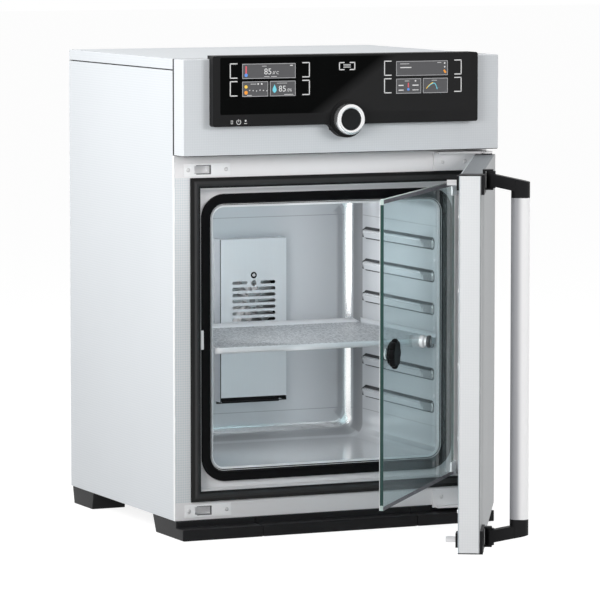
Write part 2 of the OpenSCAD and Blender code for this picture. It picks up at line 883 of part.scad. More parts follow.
module confirm_key() {
    color("#15161a") bar_y(key_r, key_y0, key_y0 + key_t, 0, dial_z);
}

// Latch keepers, hinges and screws on the frame

keeper_screw_x = keeper_w / 2 - 8;
hinge_screw_xs = [hinge_screw_end, hinge_plate_l - hinge_screw_lead];

// A latch keeper: a plate on the frame with a box behind its slot
module latch_keeper(z) {
    depth = keeper_depth + keeper_wall;
    color("gainsboro") difference() {
        union() {
            upright(-keeper_proud, 0) translate([keeper_x, z]) square([keeper_w, keeper_h], center = true);
            upright(-eps, depth) keeper_window(z);
        }
        upright(-keeper_proud - cut, keeper_depth) translate([keeper_slot_x, z])
            square([keeper_slot_w, keeper_slot_h], center = true);
    }
}

module upper_latch_keeper() {
    latch_keeper(latch_top);
}

module lower_latch_keeper() {
    latch_keeper(latch_low);
}

// The upper hinge bracket: a plate on the frame, a leaf that reaches forward, and the pin
module hinge_bracket() {
    z = door_top + hinge_gap;
    x0 = half_w - sheet_t - hinge_plate_l;
    leaf_x = x0 + leaf_start;
    color("gainsboro") {
        block([x0, -hinge_plate_t, z - hinge_plate_h], [half_w - sheet_t, 0, z + leaf_t]);
        translate([0, 0, z]) linear_extrude(leaf_t) {
            polygon([[leaf_x, 0], [leaf_x, -leaf_out], [hinge_x - leaf_lead, -leaf_out - leaf_step],
                     [hinge_x - leaf_r, hinge_y], [hinge_x + leaf_r, hinge_y], [hinge_x + leaf_r, 0]]);
            translate([hinge_x, hinge_y]) circle(leaf_r);
        }
        bar_z(hinge_pin_r, door_top - bush_l + 2, z + eps, hinge_x, hinge_y);
    }
}

module upper_hinge_bracket() {
    hinge_bracket();
}

module lower_hinge_bracket() {
    flipped(door_mid) hinge_bracket();
}

// A domed screw head on a face at y that looks to the front
module screw_head(x, y, z) {
    translate([x, y, z]) rotate([90, 0, 0]) cylinder(r1 = screw_r, r2 = screw_r * 0.6, h = screw_t);
}

module frame_screws() {
    x0 = half_w - sheet_t - hinge_plate_l;
    color("silver") {
        for (z = [latch_top, latch_low], x = [-1, 1])
            screw_head(keeper_x + x * keeper_screw_x, -keeper_proud, z);
        for (z = [door_top + hinge_gap - hinge_plate_h / 2, door_z - hinge_gap + hinge_plate_h / 2],
             x = hinge_screw_xs)
            screw_head(x0 + x, -hinge_plate_t, z);
    }
}

// Glass hinge brackets: a tongue out of the inner frame with a pin that points at the glass
module glass_hinge_brackets() {
    z = glass_top + bracket_gap;
    x = glass_axis_x;
    module upper() {
        block([x - knuckle_r, glass_axis_y, z], [x + knuckle_r, frame_y, z + bracket_t]);
        bar_z(knuckle_r, z, z + bracket_t, x, glass_axis_y);
        bar_z(glass_pin_r, glass_top - clamp_h + 2, z + eps, x, glass_axis_y);
    }
    color("silver") {
        upper();
        flipped(chamber_mid) upper();
    }
}

// The strike: a plate out of the inner frame with a lip that holds the latch tongue
module glass_latch_strike() {
    z0 = knob_z - strike_h / 2;
    z1 = knob_z + strike_h / 2;
    lip_y = tongue_y - strike_gap;
    color("gainsboro") {
        block([-recess_in, lip_y - strike_lip_t, z0], [strike_x, frame_y, z1]);
        block([strike_x - eps, lip_y - strike_lip_t, z0], [glass_left - strike_gap - free_gap, lip_y, z1]);
    }
}

// Feet

// The side outline of a front foot: a low bar in front, a step and a sloping back
module front_foot_outline(front, back) {
    polygon([[-front, 0], [-front, foot_step_h], [-foot_step_out, foot_step_h], [-foot_step_out, foot_h],
             [back, foot_h], [back - foot_taper, 0]]);
}

module left_front_foot() {
    color("#202124")
        sideways(-half_w, -half_w + front_foot_l) front_foot_outline(foot_out, front_foot_d);
}

module right_front_foot() {
    relief_x = half_w - hinge_plate_l - 8;
    color("#202124") difference() {
        sideways(half_w - front_foot_l, half_w) front_foot_outline(foot_out, front_foot_d);
        block([relief_x, -foot_step_out - cut, foot_step_h], [half_w + cut, 1, foot_h + cut]);
    }
}

module plinth_bar() {
    color("#202124") sideways(-half_w + front_foot_l, half_w - front_foot_l)
        front_foot_outline(foot_out - 1, front_foot_d * 0.45);
}

module rear_feet() {
    y1 = cabinet_d - rear_foot_inset;
    y0 = y1 - rear_foot_d;
    lean = foot_taper / 2;
    color("#202124") both_sides() sideways(-half_w, -half_w + rear_foot_w)
        polygon([[y0 + lean, 0], [y0, foot_h], [y1, foot_h], [y1 - lean, 0]]);
}

module power_inlet() {
    flange_t = 3;
    depth = 18;
    blade_l = 12;
    blade = [2, 6];
    color("#18181a") {
        difference() {
            union() {
                upright(cabinet_d, cabinet_d + flange_t)
                    translate([inlet_x, inlet_z])
                        rounded(inlet_w + 2 * inlet_flange_w, inlet_h + 2 * inlet_flange_h, 3);
                upright(cabinet_d - depth, cabinet_d + eps) translate([inlet_x, inlet_z])
                    square([inlet_w + 2 * inlet_wall, inlet_h + 2 * inlet_wall], center = true);
            }
            upright(cabinet_d - depth + inlet_wall, cabinet_d + flange_t + cut)
                translate([inlet_x, inlet_z]) square([inlet_w, inlet_h], center = true);
        }
        for (p = [[-7, -2.5], [0, 2.5], [7, -2.5]])
            upright(cabinet_d - depth + inlet_wall - eps, cabinet_d - depth + inlet_wall + blade_l)
                translate([inlet_x + p[0], inlet_z + p[1]]) square(blade, center = true);
    }
}

// Outer door, drawn shut

// The window in the door's skins that a corner block's core passes through
module core_window(z) {
    translate([pin_x, z]) square([core_w, core_h], center = true);
}

module door_shell() {
    t = sheet_t;
    color("lightsteelblue") on_outer_door() difference() {
        block([-door_hw, door_y, door_z], [door_hw, door_skin, door_top]);
        block([-door_hw + t, door_y + t, door_z + t], [door_hw - t, door_skin + cut, door_top - t]);
        upright(door_y - cut, door_y + t + cut) {
            core_window(latch_top);
            core_window(latch_low);
        }
        for (z = [door_z - cut, door_top - t - cut])
            bar_z(bush_r + run_gap, z, z + t + 2 * cut, hinge_x, hinge_y);
    }
}

module door_inner_panel() {
    color("lightslategray") on_outer_door() upright(door_skin, door_in) difference() {
        translate([-door_hw, door_z]) square([2 * door_hw, door_h]);
        core_window(latch_top);
        core_window(latch_low);
    }
}

module door_insulation() {
    x0 = pin_x + core_w / 2 + 1;
    x1 = hinge_x - bush_r - 2;
    color("khaki") on_outer_door()
        block([x0, door_y + sheet_t, door_z + sheet_t], [x1, door_skin, door_top - sheet_t]);
}

module door_panel_screws() {
    first_z = door_mid - (door_screw_count - 1) / 2 * door_screw_pitch;
    color("silver") on_outer_door()
        for (x = [-1, 1], i = [0 : door_screw_count - 1])
            translate([x * (door_hw - door_screw_side), door_in, first_z + i * door_screw_pitch])
                rotate([-90, 0, 0]) cylinder(r1 = screw_r, r2 = screw_r * 0.6, h = screw_t);
}

// A bush with a flange on the door's top, and its twin at the bottom
module door_bushes() {
    module bush() {
        difference() {
            union() {
                bar_z(bush_r, door_top - bush_l, door_top + eps, hinge_x, hinge_y);
                bar_z(bush_flange_r, door_top, door_top + bush_flange_t, hinge_x, hinge_y);
            }
            bar_z(hinge_pin_r + run_gap, door_top - bush_l - cut, door_top + bush_flange_t + cut,
                  hinge_x, hinge_y);
        }
    }
    color("#2a2b2d") on_outer_door() {
        bush();
        flipped(door_mid) bush();
    }
}

// A corner block: a plate outside, a cap over the edge, a core with the latch's axle, and the
// two ears and the axle that carry the handle's drum, which sits a rise above the latch
module corner_block(rise) {
    x0 = -door_hw;
    drum_gap = free_gap / 2;
    ear_z = latch_top + rise + drum_h / 2 + drum_gap;
    low_ear_z = latch_top + rise - drum_h / 2 - drum_gap - ear_t;
    plate_z = min(door_top - block_h, low_ear_z);
    tab_top = max(door_top, ear_z + ear_t);
    hub_z = latch_hub_h / 2 + drum_gap;
    hub_x = core_w / 2 - core_wall;
    color("#1c1d1f") difference() {
        union() {
            block([x0, door_y - block_t, plate_z], [x0 + block_w, door_y, door_top]);
            block([pin_x - ear_w / 2, door_y - block_t, door_top - block_t],
                  [pin_x + ear_w / 2, door_y, tab_top]);
            block([x0, door_y - block_t, door_top], [x0 + cap_w, door_in, door_top + cap_t]);
            block([pin_x - core_w / 2, door_y - eps, latch_top - core_h / 2],
                  [pin_x + core_w / 2, door_in + core_out, latch_top + core_h / 2]);
            for (z = [ear_z, low_ear_z])
                block([pin_x - ear_w / 2, pivot_y - ear_w / 4, z],
                      [pin_x + ear_w / 2, door_y - block_t + eps, z + ear_t]);
            bar_z(pivot_r, low_ear_z, ear_z + ear_t, pin_x, pivot_y);
        }
        block([pin_x - hub_x, latch_hub_y - latch_hub_r - 1, latch_top - hub_z],
              [pin_x + hub_x, door_in + core_out + cut, latch_top + hub_z]);
    }
    color("#1c1d1f")
        bar_z(latch_axle_r, latch_top - hub_z - 1, latch_top + hub_z + 1, pin_x, latch_hub_y);
}

module upper_corner_block() {
    on_outer_door() corner_block(handle_rise);
}

module lower_corner_block() {
    on_outer_door() flipped(door_mid) corner_block(-handle_rise);
}

module latch_pins() {
    h = latch_hub_h / 2;
    module pin() {
        difference() {
            union() {
                bar_z(latch_hub_r, latch_top - h, latch_top + h, pin_x, latch_hub_y);
                bar_y(pin_r, latch_hub_y, door_in + pin_out, pin_x, latch_top);
            }
            bar_z(latch_axle_r + run_gap, latch_top - h - cut, latch_top + h + cut, pin_x, latch_hub_y);
        }
    }
    color("gainsboro") on_outer_door() {
        pin();
        flipped(door_mid) pin();
    }
}

// Handle, drawn with the outer door shut

// The bar's section, with its long side away from the door
module bar_section() {
    translate([pin_x, grip_y]) rotate(90) slot(bar_w, bar_t);
}

module handle_bar() {
    color("silver") on_outer_door()
        translate([0, 0, handle_mid - bar_l / 2]) linear_extrude(bar_l) bar_section();
}

// The upper arm: a drum on the pivot, a sloping link and a cap on the bar's end with the same slope
module handle_arm() {
    cap_z = handle_mid + bar_l / 2;
    top = drum_z + arm_h / 2;
    low = drum_z - arm_h / 2;
    end_y = grip_y - bar_w / 2 - cut;
    fall = arm_slope / (handle_reach + bar_w / 2);
    link_fall = fall * handle_reach;
    color("#1c1d1f") difference() {
        union() {
            bar_z(drum_r, drum_z - drum_h / 2, drum_z + drum_h / 2, pin_x, pivot_y);
            intersection() {
                translate([0, 0, cap_z]) linear_extrude(top - cap_z) bar_section();
                sideways(pin_x - bar_t, pin_x + bar_t)
                    polygon([[pivot_y, top], [end_y, top - fall * (pivot_y - end_y)],
                             [end_y, cap_z - cut], [pivot_y, cap_z - cut]]);
            }
            sideways(pin_x - arm_w / 2, pin_x + arm_w / 2)
                polygon([[pivot_y, top], [grip_y, top - link_fall],
                         [grip_y, max(cap_z, low - link_fall)], [pivot_y, low]]);
        }
        bar_z(pivot_r + run_gap, drum_z - drum_h, drum_z + drum_h, pin_x, pivot_y);
    }
}

module upper_handle_arm() {
    on_outer_door() handle_arm();
}

module lower_handle_arm() {
    on_outer_door() flipped(handle_mid) handle_arm();
}

// Glass door, drawn shut

module glass_pane() {
    color("mediumaquamarine", 0.4) on_glass_door() difference() {
        block([glass_left, glass_y, glass_z - pane_edge], [glass_right, glass_in, glass_top + pane_edge]);
        bar_y(bush_stem_r, glass_y - cut, glass_in + cut, knob_x, knob_z);
    }
}

// A clamp on the pane's upper corner with the knuckle for the hinge pin, and its twin below
module glass_clamps() {
    x = glass_axis_x;
    z = glass_top - clamp_h;
    module clamp() {
        difference() {
            union() {
                block([glass_right - clamp_l, glass_y - clamp_t, z], [x, glass_y, glass_top]);
                bar_z(knuckle_r, z, glass_top, x, glass_axis_y);
                block([x - knuckle_r, glass_y - clamp_t, z], [x + clamp_t / 2, glass_axis_y, glass_top]);
            }
            bar_z(glass_pin_r + run_gap, z - cut, glass_top + cut, x, glass_axis_y);
        }
    }
    color("silver") on_glass_door() {
        clamp();
        flipped(chamber_mid) clamp();
    }
}

// A spool-shaped bumper that the outer door meets when it shuts
module glass_bumper() {
    groove = bumper_r * 0.8;
    color("silver") on_glass_door() {
        bar_y(bumper_r, glass_y - bumper_l * 0.4, glass_y, glass_mid_x, knob_z);
        bar_y(groove, glass_y - bumper_l * 0.7, glass_y, glass_mid_x, knob_z);
        bar_y(bumper_r, glass_y - bumper_l, glass_y - bumper_l * 0.65, glass_mid_x, knob_z);
    }
}

module glass_knob_bush() {
    color("silver") on_glass_door() difference() {
        union() {
            bar_y(bush_head_r, glass_y - bush_head_t, glass_y, knob_x, knob_z);
            bar_y(bush_stem_r - run_gap, glass_y - eps, glass_in + eps, knob_x, knob_z);
            bar_y(bush_head_r, glass_in, glass_in + bush_nut_t, knob_x, knob_z);
        }
        bar_y(spindle_r + run_gap, glass_y - bush_head_t - cut, glass_in + bush_nut_t + cut, knob_x, knob_z);
    }
}

module glass_knob() {
    lobe_r = knob_r * 0.3;
    color("#161618") on_glass_door() {
        upright(knob_y, knob_y + knob_t) translate([knob_x, knob_z]) {
            circle(knob_r - lobe_r * 0.6);
            for (i = [0 : knob_lobes - 1])
                rotate(i * 360 / knob_lobes) translate([knob_r - lobe_r, 0]) circle(lobe_r);
        }
        bar_y(spindle_r, knob_y + knob_t - eps, glass_in + bush_nut_t, knob_x, knob_z);
    }
}

// The latch tongue turns with the knob and points at the hinge while the door is open
module glass_latch_tongue() {
    color("silver") on_glass_door() upright(tongue_y, tongue_y + tongue_t) translate([knob_x, knob_z])
        difference() {
            union() {
                circle(bush_head_r);
                translate([0, -tongue_w / 2]) square([tongue_reach, tongue_w]);
            }
            circle(spindle_r + run_gap);
        }
}

// Shelf

module shelf() {
    t = shelf_t;
    y0 = shelf_y;
    y1 = shelf_y + shelf_d;
    color("lightslategray") {
        block([-shelf_hw, y0, shelf_z], [shelf_hw, y1, shelf_z + t]);
        for (x = [-shelf_hw, shelf_hw - t])
            block([x, y0, shelf_z + t - eps], [x + t, y1, shelf_z + shelf_flange]);
        block([-shelf_hw + t - eps, y1 - t, shelf_z + t - eps],
              [shelf_hw - t + eps, y1, shelf_z + shelf_flange]);
        block([-shelf_hw, y0, shelf_z - shelf_lip + t], [shelf_hw, y0 + t, shelf_z + eps]);
    }
}

left_side_panel();
right_side_panel();
rear_panel();
top_cover();
base_pan();
front_frame();
inner_frame();
outer_seal();
inner_seal();
inner_chamber();
chamber_back();
wall_beads();
insulation();
heater_mats();
fan_cover();
fan_cover_screw();
fan_motor();
fan_wheel();
temperature_probe();
humidity_sensor();
steam_generator();
fascia();
control_bezel();
control_glass();
displays();
control_board();
power_supply();
dial_encoder();
dial_ring();
confirm_key();
upper_latch_keeper();
lower_latch_keeper();
upper_hinge_bracket();
lower_hinge_bracket();
frame_screws();
glass_hinge_brackets();
glass_latch_strike();
left_front_foot();
right_front_foot();
plinth_bar();
rear_feet();
power_inlet();
door_shell();
door_inner_panel();
door_insulation();
door_panel_screws();
door_bushes();
upper_corner_block();
lower_corner_block();
handle_bar();
upper_handle_arm();
lower_handle_arm();
latch_pins();
glass_pane();
glass_clamps();
glass_bumper();
glass_knob_bush();
glass_knob();
glass_latch_tongue();
shelf();
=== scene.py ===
# %% [markdown]
# # A bench-top incubator with two open doors
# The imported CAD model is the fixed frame: every solid already stands at its place, in metres.
# This lesson gives the solids their finishes, and swaps those whose real surface is curved,
# pressed or perforated for surfaces that are worked out with numpy.

# %% Load the frame
import json
import math

import bmesh
import bpy
import numpy as np
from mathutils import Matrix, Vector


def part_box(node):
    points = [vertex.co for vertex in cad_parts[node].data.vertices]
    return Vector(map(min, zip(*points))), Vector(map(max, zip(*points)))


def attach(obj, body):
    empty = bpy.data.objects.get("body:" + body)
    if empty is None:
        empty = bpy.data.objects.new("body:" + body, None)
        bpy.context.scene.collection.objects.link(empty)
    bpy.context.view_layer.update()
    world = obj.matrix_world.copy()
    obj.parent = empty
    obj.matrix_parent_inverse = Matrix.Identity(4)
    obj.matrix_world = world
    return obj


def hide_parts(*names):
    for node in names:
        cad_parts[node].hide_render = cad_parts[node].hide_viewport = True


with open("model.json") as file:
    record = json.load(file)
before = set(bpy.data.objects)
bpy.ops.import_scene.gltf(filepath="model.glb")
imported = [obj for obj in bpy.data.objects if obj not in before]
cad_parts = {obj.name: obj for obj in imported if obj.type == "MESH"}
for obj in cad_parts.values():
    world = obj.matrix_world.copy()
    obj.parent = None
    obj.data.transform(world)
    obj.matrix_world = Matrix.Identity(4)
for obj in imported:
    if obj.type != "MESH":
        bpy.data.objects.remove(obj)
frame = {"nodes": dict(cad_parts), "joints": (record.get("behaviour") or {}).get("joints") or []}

nodes = frame["nodes"]
joints = {j["name"]: j for j in frame["joints"]}
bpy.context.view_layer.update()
MM = 0.001

# %% [markdown]
# ## Camera and studio
# The photograph was taken from the left, a little above the cabinet, with a long lens, so the
# upright edges stay almost parallel. A long lens far away gives the same drawing. The floor and
# the world are white to rays from the camera, from gloss and through glass, and softer to the
# light that bounces, so that pale steel keeps its tone. Four large soft lamps light the outside,
# and two small ones stand in the chamber, where little of that light comes in.


# %% Camera
def placed(name, data):
    """Makes an object of data and puts it into the scene."""
    made = bpy.data.objects.new(name, data)
    bpy.context.scene.collection.objects.link(made)
    return made


LOOK_DOWN, LOOK_RIGHT = 5.415, 24.21
camera_data = bpy.data.cameras.new("photo_camera")
camera_data.sensor_width = 36.0
camera_data.lens = 255.37
camera_data.clip_start, camera_data.clip_end = 0.1, 60.0
camera = placed("photo_camera", camera_data)
camera.location = (-2.88659, -6.28960, 1.03267)
camera.rotation_euler = (math.radians(90 - LOOK_DOWN), 0.0, -math.radians(LOOK_RIGHT))
bpy.context.scene.camera = camera
bpy.context.scene.view_settings.view_transform = "Standard"
print("camera lens", camera_data.lens)


# %% Node helper
class Graph:
    """A node tree that grows by one node with each call. A value is a number or a node's output."""

    def __init__(self, owner):
        owner.use_nodes = True
        self.tree = owner.node_tree

    def feed(self, socket, value):
        """Links a node's output to a socket, or writes a plain value there."""
        if isinstance(value, bpy.types.NodeSocket):
            self.tree.links.new(value, socket)
        else:
            socket.default_value = value

    def add(self, kind, inputs=None, **fields):
        """Adds a node of that kind, sets its fields, and feeds its inputs by name or number."""
        made = self.tree.nodes.new("ShaderNode" + kind)
        for field, value in fields.items():
            setattr(made, field, value)
        for key, value in (inputs or {}).items():
            self.feed(made.inputs[key], value)
        return made

    def math(self, operation, first, *others):
        """Arithmetic on values, taken two at a time from the left."""
        for other in others or (0.0,):
            first = self.add("Math", {0: first, 1: other}, operation=operation).outputs[0]
        return first

    def times(self, *values):
        """The product of values; of masks, where all of them are 1."""
        return self.math("MULTIPLY", *values)

    def most(self, *values):
        """The largest of values; of masks, where any of them is 1."""
        return self.math("MAXIMUM", *values)

    def span(self, value, low, high, start=0.0, end=1.0, **fields):
        """A value between start and end spread over low to high."""
        ends = {"From Min": start, "From Max": end, "To Min": low, "To Max": high}
        return self.add("MapRange", {"Value": value, **ends}, **fields).outputs[0]

    def direct_rays(self):
        """1 for rays from the camera, from gloss and through glass, else 0."""
        path = self.add("LightPath").outputs
        return self.most(*(path[f"Is {kind} Ray"] for kind in ("Camera", "Glossy", "Transmission")))


print("node helper", Graph.__name__)

# %% World
AMBIENT = 0.42
WHITE = (1.0, 1.0, 1.0)
bpy.context.scene.world = bpy.data.worlds.new("studio")
air = Graph(bpy.context.scene.world)
air.tree.nodes.clear()
strength = air.span(air.direct_rays(), AMBIENT, 1.0)
back = air.add("Background", {"Color": (*WHITE, 1.0), "Strength": strength})
air.add("OutputWorld", {"Surface": back.outputs[0]})
print("world ambient", AMBIENT)


# %% Lamps
def softbox(name, place, target, size, power, spread=180, in_gloss=False):
    """A square area lamp at place that looks at target; its light spreads over so many degrees."""
    data = bpy.data.lights.new(name, "AREA")
    data.shape, data.size, data.energy = "SQUARE", size, power
    data.spread = math.radians(spread)
    lamp = placed(name, data)
    lamp.visible_camera, lamp.visible_glossy = False, in_gloss
    x, y, z = np.array(target) - np.array(place)
    lamp.location = place
    lamp.rotation_euler = (math.atan2(math.hypot(x, y), -z), 0.0, math.atan2(-x, y))


softbox("side", (-1.35, 0.30, 1.05), (-0.28, 0.22, 0.70), 0.9, 13.0)
softbox("fill", (-1.2, -0.95, 0.78), (0.1, 0.0, 0.48), 0.6, 10.0)
softbox("front", (1.8, -2.5, 1.40), (0.18, -0.1, 0.55), 1.1, 40.0)
softbox("top", (0.0, 0.5, 3.2), (0.0, 0.2, 0.7), 2.2, 28.0)
softbox("upper_chamber", (-0.10, 0.036, 0.41), (0.08, 0.35, 0.47), 0.20, 0.18, 120, in_gloss=True)
softbox("lower_chamber", (-0.10, 0.036, 0.22), (0.08, 0.35, 0.22), 0.14, 0.09, 120)

# %% Floor
REACH, FLOOR_Z, GREY, GLOW = 30.0, -0.0006, 0.28, 0.86
corners = [(x * REACH, y * REACH, FLOOR_Z) for x, y in ((-1, -1), (1, -1), (1, 1), (-1, 1))]
floor_mesh = bpy.data.meshes.new("floor")
floor_mesh.from_pydata(corners, [], [(0, 1, 2, 3)])
floor = placed("floor", floor_mesh)
floor_white = bpy.data.materials.new("floor_white")
sheet = Graph(floor_white)
sheet.tree.nodes.clear()
matt = sheet.add("BsdfDiffuse", {"Color": (GREY, GREY, GREY, 1.0)}).outputs[0]
glow = sheet.add("Emission", {"Color": (*WHITE, 1.0), "Strength": GLOW}).outputs[0]
shown = sheet.add("AddShader", {0: glow, 1: matt}).outputs[0]
mixed = sheet.add("MixShader", {0: sheet.direct_rays(), 1: matt, 2: shown}).outputs[0]
sheet.add("OutputMaterial", {"Surface": mixed})
floor_mesh.materials.append(floor_white)
print("floor at", FLOOR_Z)

# %% [markdown]
# ## Finishes
# Each finish is a small tree of nodes on Object coordinates, so that it needs no picture and
# stays at its real scale. A base tone comes first. Where a piece has a joint, a fold, or a place where
# shade or a highlight falls that is too fine for its solid, a mask, 1 inside some bounds and 0
# outside, recolours it: mostly with painted shade, in places with a painted highlight.


# %% Mask helper
class Masks(Graph):
    """Adds the masks: values that are 1 on one part of a surface and 0 on the rest."""

    def above(self, value, limit):
        """1 where a value is over a limit, else 0."""
        return self.math("GREATER_THAN", value, limit)

    def below(self, value, limit):
        """1 where a value is under a limit, else 0."""
        return self.math("LESS_THAN", value, limit)

    def between(self, value, low, high):
        """1 where a value lies between two bounds, else 0."""
        return self.times(self.above(value, low), self.below(value, high))

    def outside(self, mask):
        """1 where a mask is 0, and the other way round."""
        return self.math("SUBTRACT", 1.0, mask)

    def apart(self, value, place):
        """How far a value is from a place, to either side."""
        return self.math("ABSOLUTE", self.math("SUBTRACT", value, place))

    def soft_step(self, value, start, end, top):
        """Rises softly from 0 at start to top at end."""
        return self.span(value, 0.0, top, start, end, interpolation_type="SMOOTHSTEP")


print("mask helper", Masks.__name__)


# %% Pattern helper
class Patterns(Masks):
    """Adds the patterns: values that change with the place on a surface."""

    def noise(self, scale, detail=2.0, stretch=(1.0, 1.0, 1.0)):
        """Noise whose grain is stretched along an axis, as brushing leaves it."""
        placed_at = self.add("Mapping", {"Vector": self.where, "Scale": stretch}).outputs[0]
        grain = {"Vector": placed_at, "Scale": scale, "Detail": detail}
        return self.add("TexNoise", grain).outputs["Fac"]

    def blend(self, first, second, part):
        """Two values mixed, with that part of the second one."""
        return self.add("Mix", {0: part, 2: first, 3: second}, data_type="FLOAT").outputs[0]

    def waves(self, axes, pitch):
        """One sine wave along each axis, with a crest every pitch millimetres."""
        turns = 2 * math.pi / (pitch * MM)
        return [self.math("SINE", self.times(getattr(self, axis), turns)) for axis in axes]

    def along(self, direction, origin=(0.0, 0.0, 0.0)):
        """How far the surface lies from origin along a direction."""
        away = self.add("VectorMath", {0: self.spot, 1: origin}, operation="SUBTRACT").outputs[0]
        return self.add("VectorMath", {0: away, 1: direction}, operation="DOT_PRODUCT").outputs["Value"]

    def mark(self, name):
        """A point attribute of the surface that wears the finish."""
        return self.add("Attribute", attribute_name=name).outputs["Fac"]


print("pattern helper", Patterns.__name__)

# %% Finish helper
finishes = {}


class Finish(Patterns):
    """A material with a Principled shader. Its pattern's Object coordinates x, y and z are turned
    about the upright axis by turn radians; spot is the place before that turn."""

    def __init__(self, name, color, metallic, rough, turn=0.0, gloss=0.5):
        self.material = finishes[name] = bpy.data.materials.new(name)
        super().__init__(self.material)
        self.material.diffuse_color = (*color, 1.0)
        self.shade({"Base Color": (*color, 1.0), "Metallic": metallic, "Roughness": rough,
                    "Specular IOR Level": gloss})
        self.spot = self.where = self.add("TexCoord").outputs["Object"]
        if turn:
            turned_by = {"Vector": self.spot, "Rotation": (0.0, 0.0, turn)}
            self.where = self.add("Mapping", turned_by).outputs[0]
        self.x, self.y, self.z = self.add("SeparateXYZ", {"Vector": self.where}).outputs

    def shade(self, inputs):
        """Feeds inputs of the Principled shader."""
        for key, value in inputs.items():
            self.feed(self.tree.nodes["Principled BSDF"].inputs[key], value)

    def tone(self, value, dark, light, socket="Base Color"):
        """Drives a colour input from dark to light by a value between 0 and 1."""
        ramp = self.add("ValToRGB", {"Fac": value})
        for stop, color in zip(ramp.color_ramp.elements, (dark, light)):
            stop.color = (*color, 1.0)
        self.shade({socket: ramp.outputs[0]})

    def recolour(self, mask, color):
        """Blends the base colour towards another colour by a mask between 0 and 1."""
        base = self.tree.nodes["Principled BSDF"].inputs["Base Color"]
        under = base.links[0].from_socket
        mixed = self.add("Mix", {0: mask, 6: under, 7: (*color, 1.0)}, data_type="RGBA")
        self.feed(base, mixed.outputs[2])

    def relief(self, height, strength, distance):
        """Feeds a height into the shader's normal as a bump of that real depth in metres."""
        bump = self.add("Bump", {"Height": height, "Strength": strength, "Distance": distance})
        self.shade({"Normal": bump.outputs[0]})


print("finish helper", Finish.__name__)

# %% [markdown]
# ## Linen steel
# The casing, the fascia and the outer door are stainless sheet, rolled with a fine linen pattern
# and rather matt. A picture of the pattern could be laid on each face, but waves along all three
# axes put the same pads on every face without any seam.


# %% Linen steel of the casing
LINEN_PITCH = 4.0
JOINT_AND_SHADE_DARK = (0.03, 0.03, 0.032)


def linen_steel(name, light, dark, turn=0.0, joint_and_shade=None, joint_and_shade_color=JOINT_AND_SHADE_DARK, edge=None):
    """Rolled linen pattern: the sum of one sine wave per axis raises small pads in rows and columns,
    and slow noise shades the sheet. Between the two heights of joint_and_shade the sheet is dark: a joint
    line at the casing's skirt, and painted shade at the fascia's lower edge and on the door's top. An
    upright edge (y, y, z) is dark above height z, and below it carries a painted highlight."""
    steel = Finish(name, light, metallic=0.06, rough=0.42, turn=turn, gloss=0.10)
    pads = steel.span(steel.math("ADD", *steel.waves("xyz", LINEN_PITCH)), 0.0, 1.0, -2.0, 2.0)
    steel.tone(steel.blend(pads, steel.noise(5.0), 0.35), dark, light)
    steel.shade({"Roughness": steel.span(pads, 0.48, 0.36)})
    steel.relief(pads, 0.25, 0.0002)
    if joint_and_shade:
        steel.recolour(steel.between(steel.z, *joint_and_shade), joint_and_shade_color)
    if edge:
        front, back, joint_z = edge
        strip, upper = steel.between(steel.y, front, back), steel.above(steel.z, joint_z)
        steel.recolour(steel.times(strip, upper), joint_and_shade_color)
        steel.recolour(steel.times(strip, steel.outside(upper), 0.8), WHITE)
    return steel


# The fascia's lower edge gets painted shade; the casing's upright front edge is dark above the fascia's lower
# edge and carries a painted highlight below it.
FASCIA_EDGE_SHADE, CASING_EDGE_HIGHLIGHT, SKIRT_GAP = (0.6190, 0.6207), (-0.0016, 0.0046, 0.6195), (-0.0014, 0.0005)
skirt_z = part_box("top_cover")[0].z
linen_steel("casing_linen", (0.68, 0.705, 0.73), (0.595, 0.625, 0.65),
            joint_and_shade=[skirt_z + step for step in SKIRT_GAP], edge=CASING_EDGE_HIGHLIGHT)
linen_steel("fascia_linen", (0.695, 0.718, 0.74), (0.618, 0.644, 0.67), joint_and_shade=FASCIA_EDGE_SHADE)
print("linen pitch", LINEN_PITCH, "skirt from", round(skirt_z, 4))

# %% Linen steel of the door
# The door's top face and its outer face are darkened by masks: painted shade.
DOOR_TOP_SHADE, FACE_DEPTH = (0.6094, 0.62), 0.002
door_angle, glass_angle = (-math.radians(joints[name]["range_deg"][0])
                           for name in ("outer_door_hinge", "glass_door_hinge"))
door_out = (math.sin(door_angle), -math.cos(door_angle), 0.0)
door_linen = linen_steel("door_linen", (0.865, 0.878, 0.89), (0.80, 0.82, 0.837), -door_angle,
                         DOOR_TOP_SHADE, (0.20, 0.215, 0.23))
shell = nodes["door_shell"].data
corners = np.empty(len(shell.vertices) * 3)
shell.vertices.foreach_get("co", corners)
face_at = float((corners.reshape(-1, 3) @ np.array(door_out)).max())
# Painted shade darkens the door's outer face.
face = door_linen.above(door_linen.along(door_out), face_at - FACE_DEPTH)
door_linen.recolour(door_linen.times(face, 0.8), (0.24, 0.252, 0.26))
print("door stands open by", round(math.degrees(door_angle)), "degrees")

# %% [markdown]
# ## Brushed, painted and moulded finishes
# Most small pieces need one of three looks: metal with fine scratches along one way, sprayed
# paint, or the grain of a mould in plastic and rubber. Each look is one function, and a list
# gives every finish its light and dark tone and its gloss.


# %% Brushed metals
def brushed(name, light, dark, metallic, rough, stretch, depth=0.00004):
    """Fine scratches, noise stretched along one axis, shade the metal and break up its gloss."""
    metal = Finish(name, light, metallic, rough)
    hair = metal.noise(900.0, 3.0, stretch)
    metal.tone(metal.blend(hair, metal.noise(6.0), 0.45), dark, light)
    metal.shade({"Roughness": metal.span(hair, rough * 0.8, rough * 1.25)})
    metal.relief(hair, 0.2, depth)
    return metal


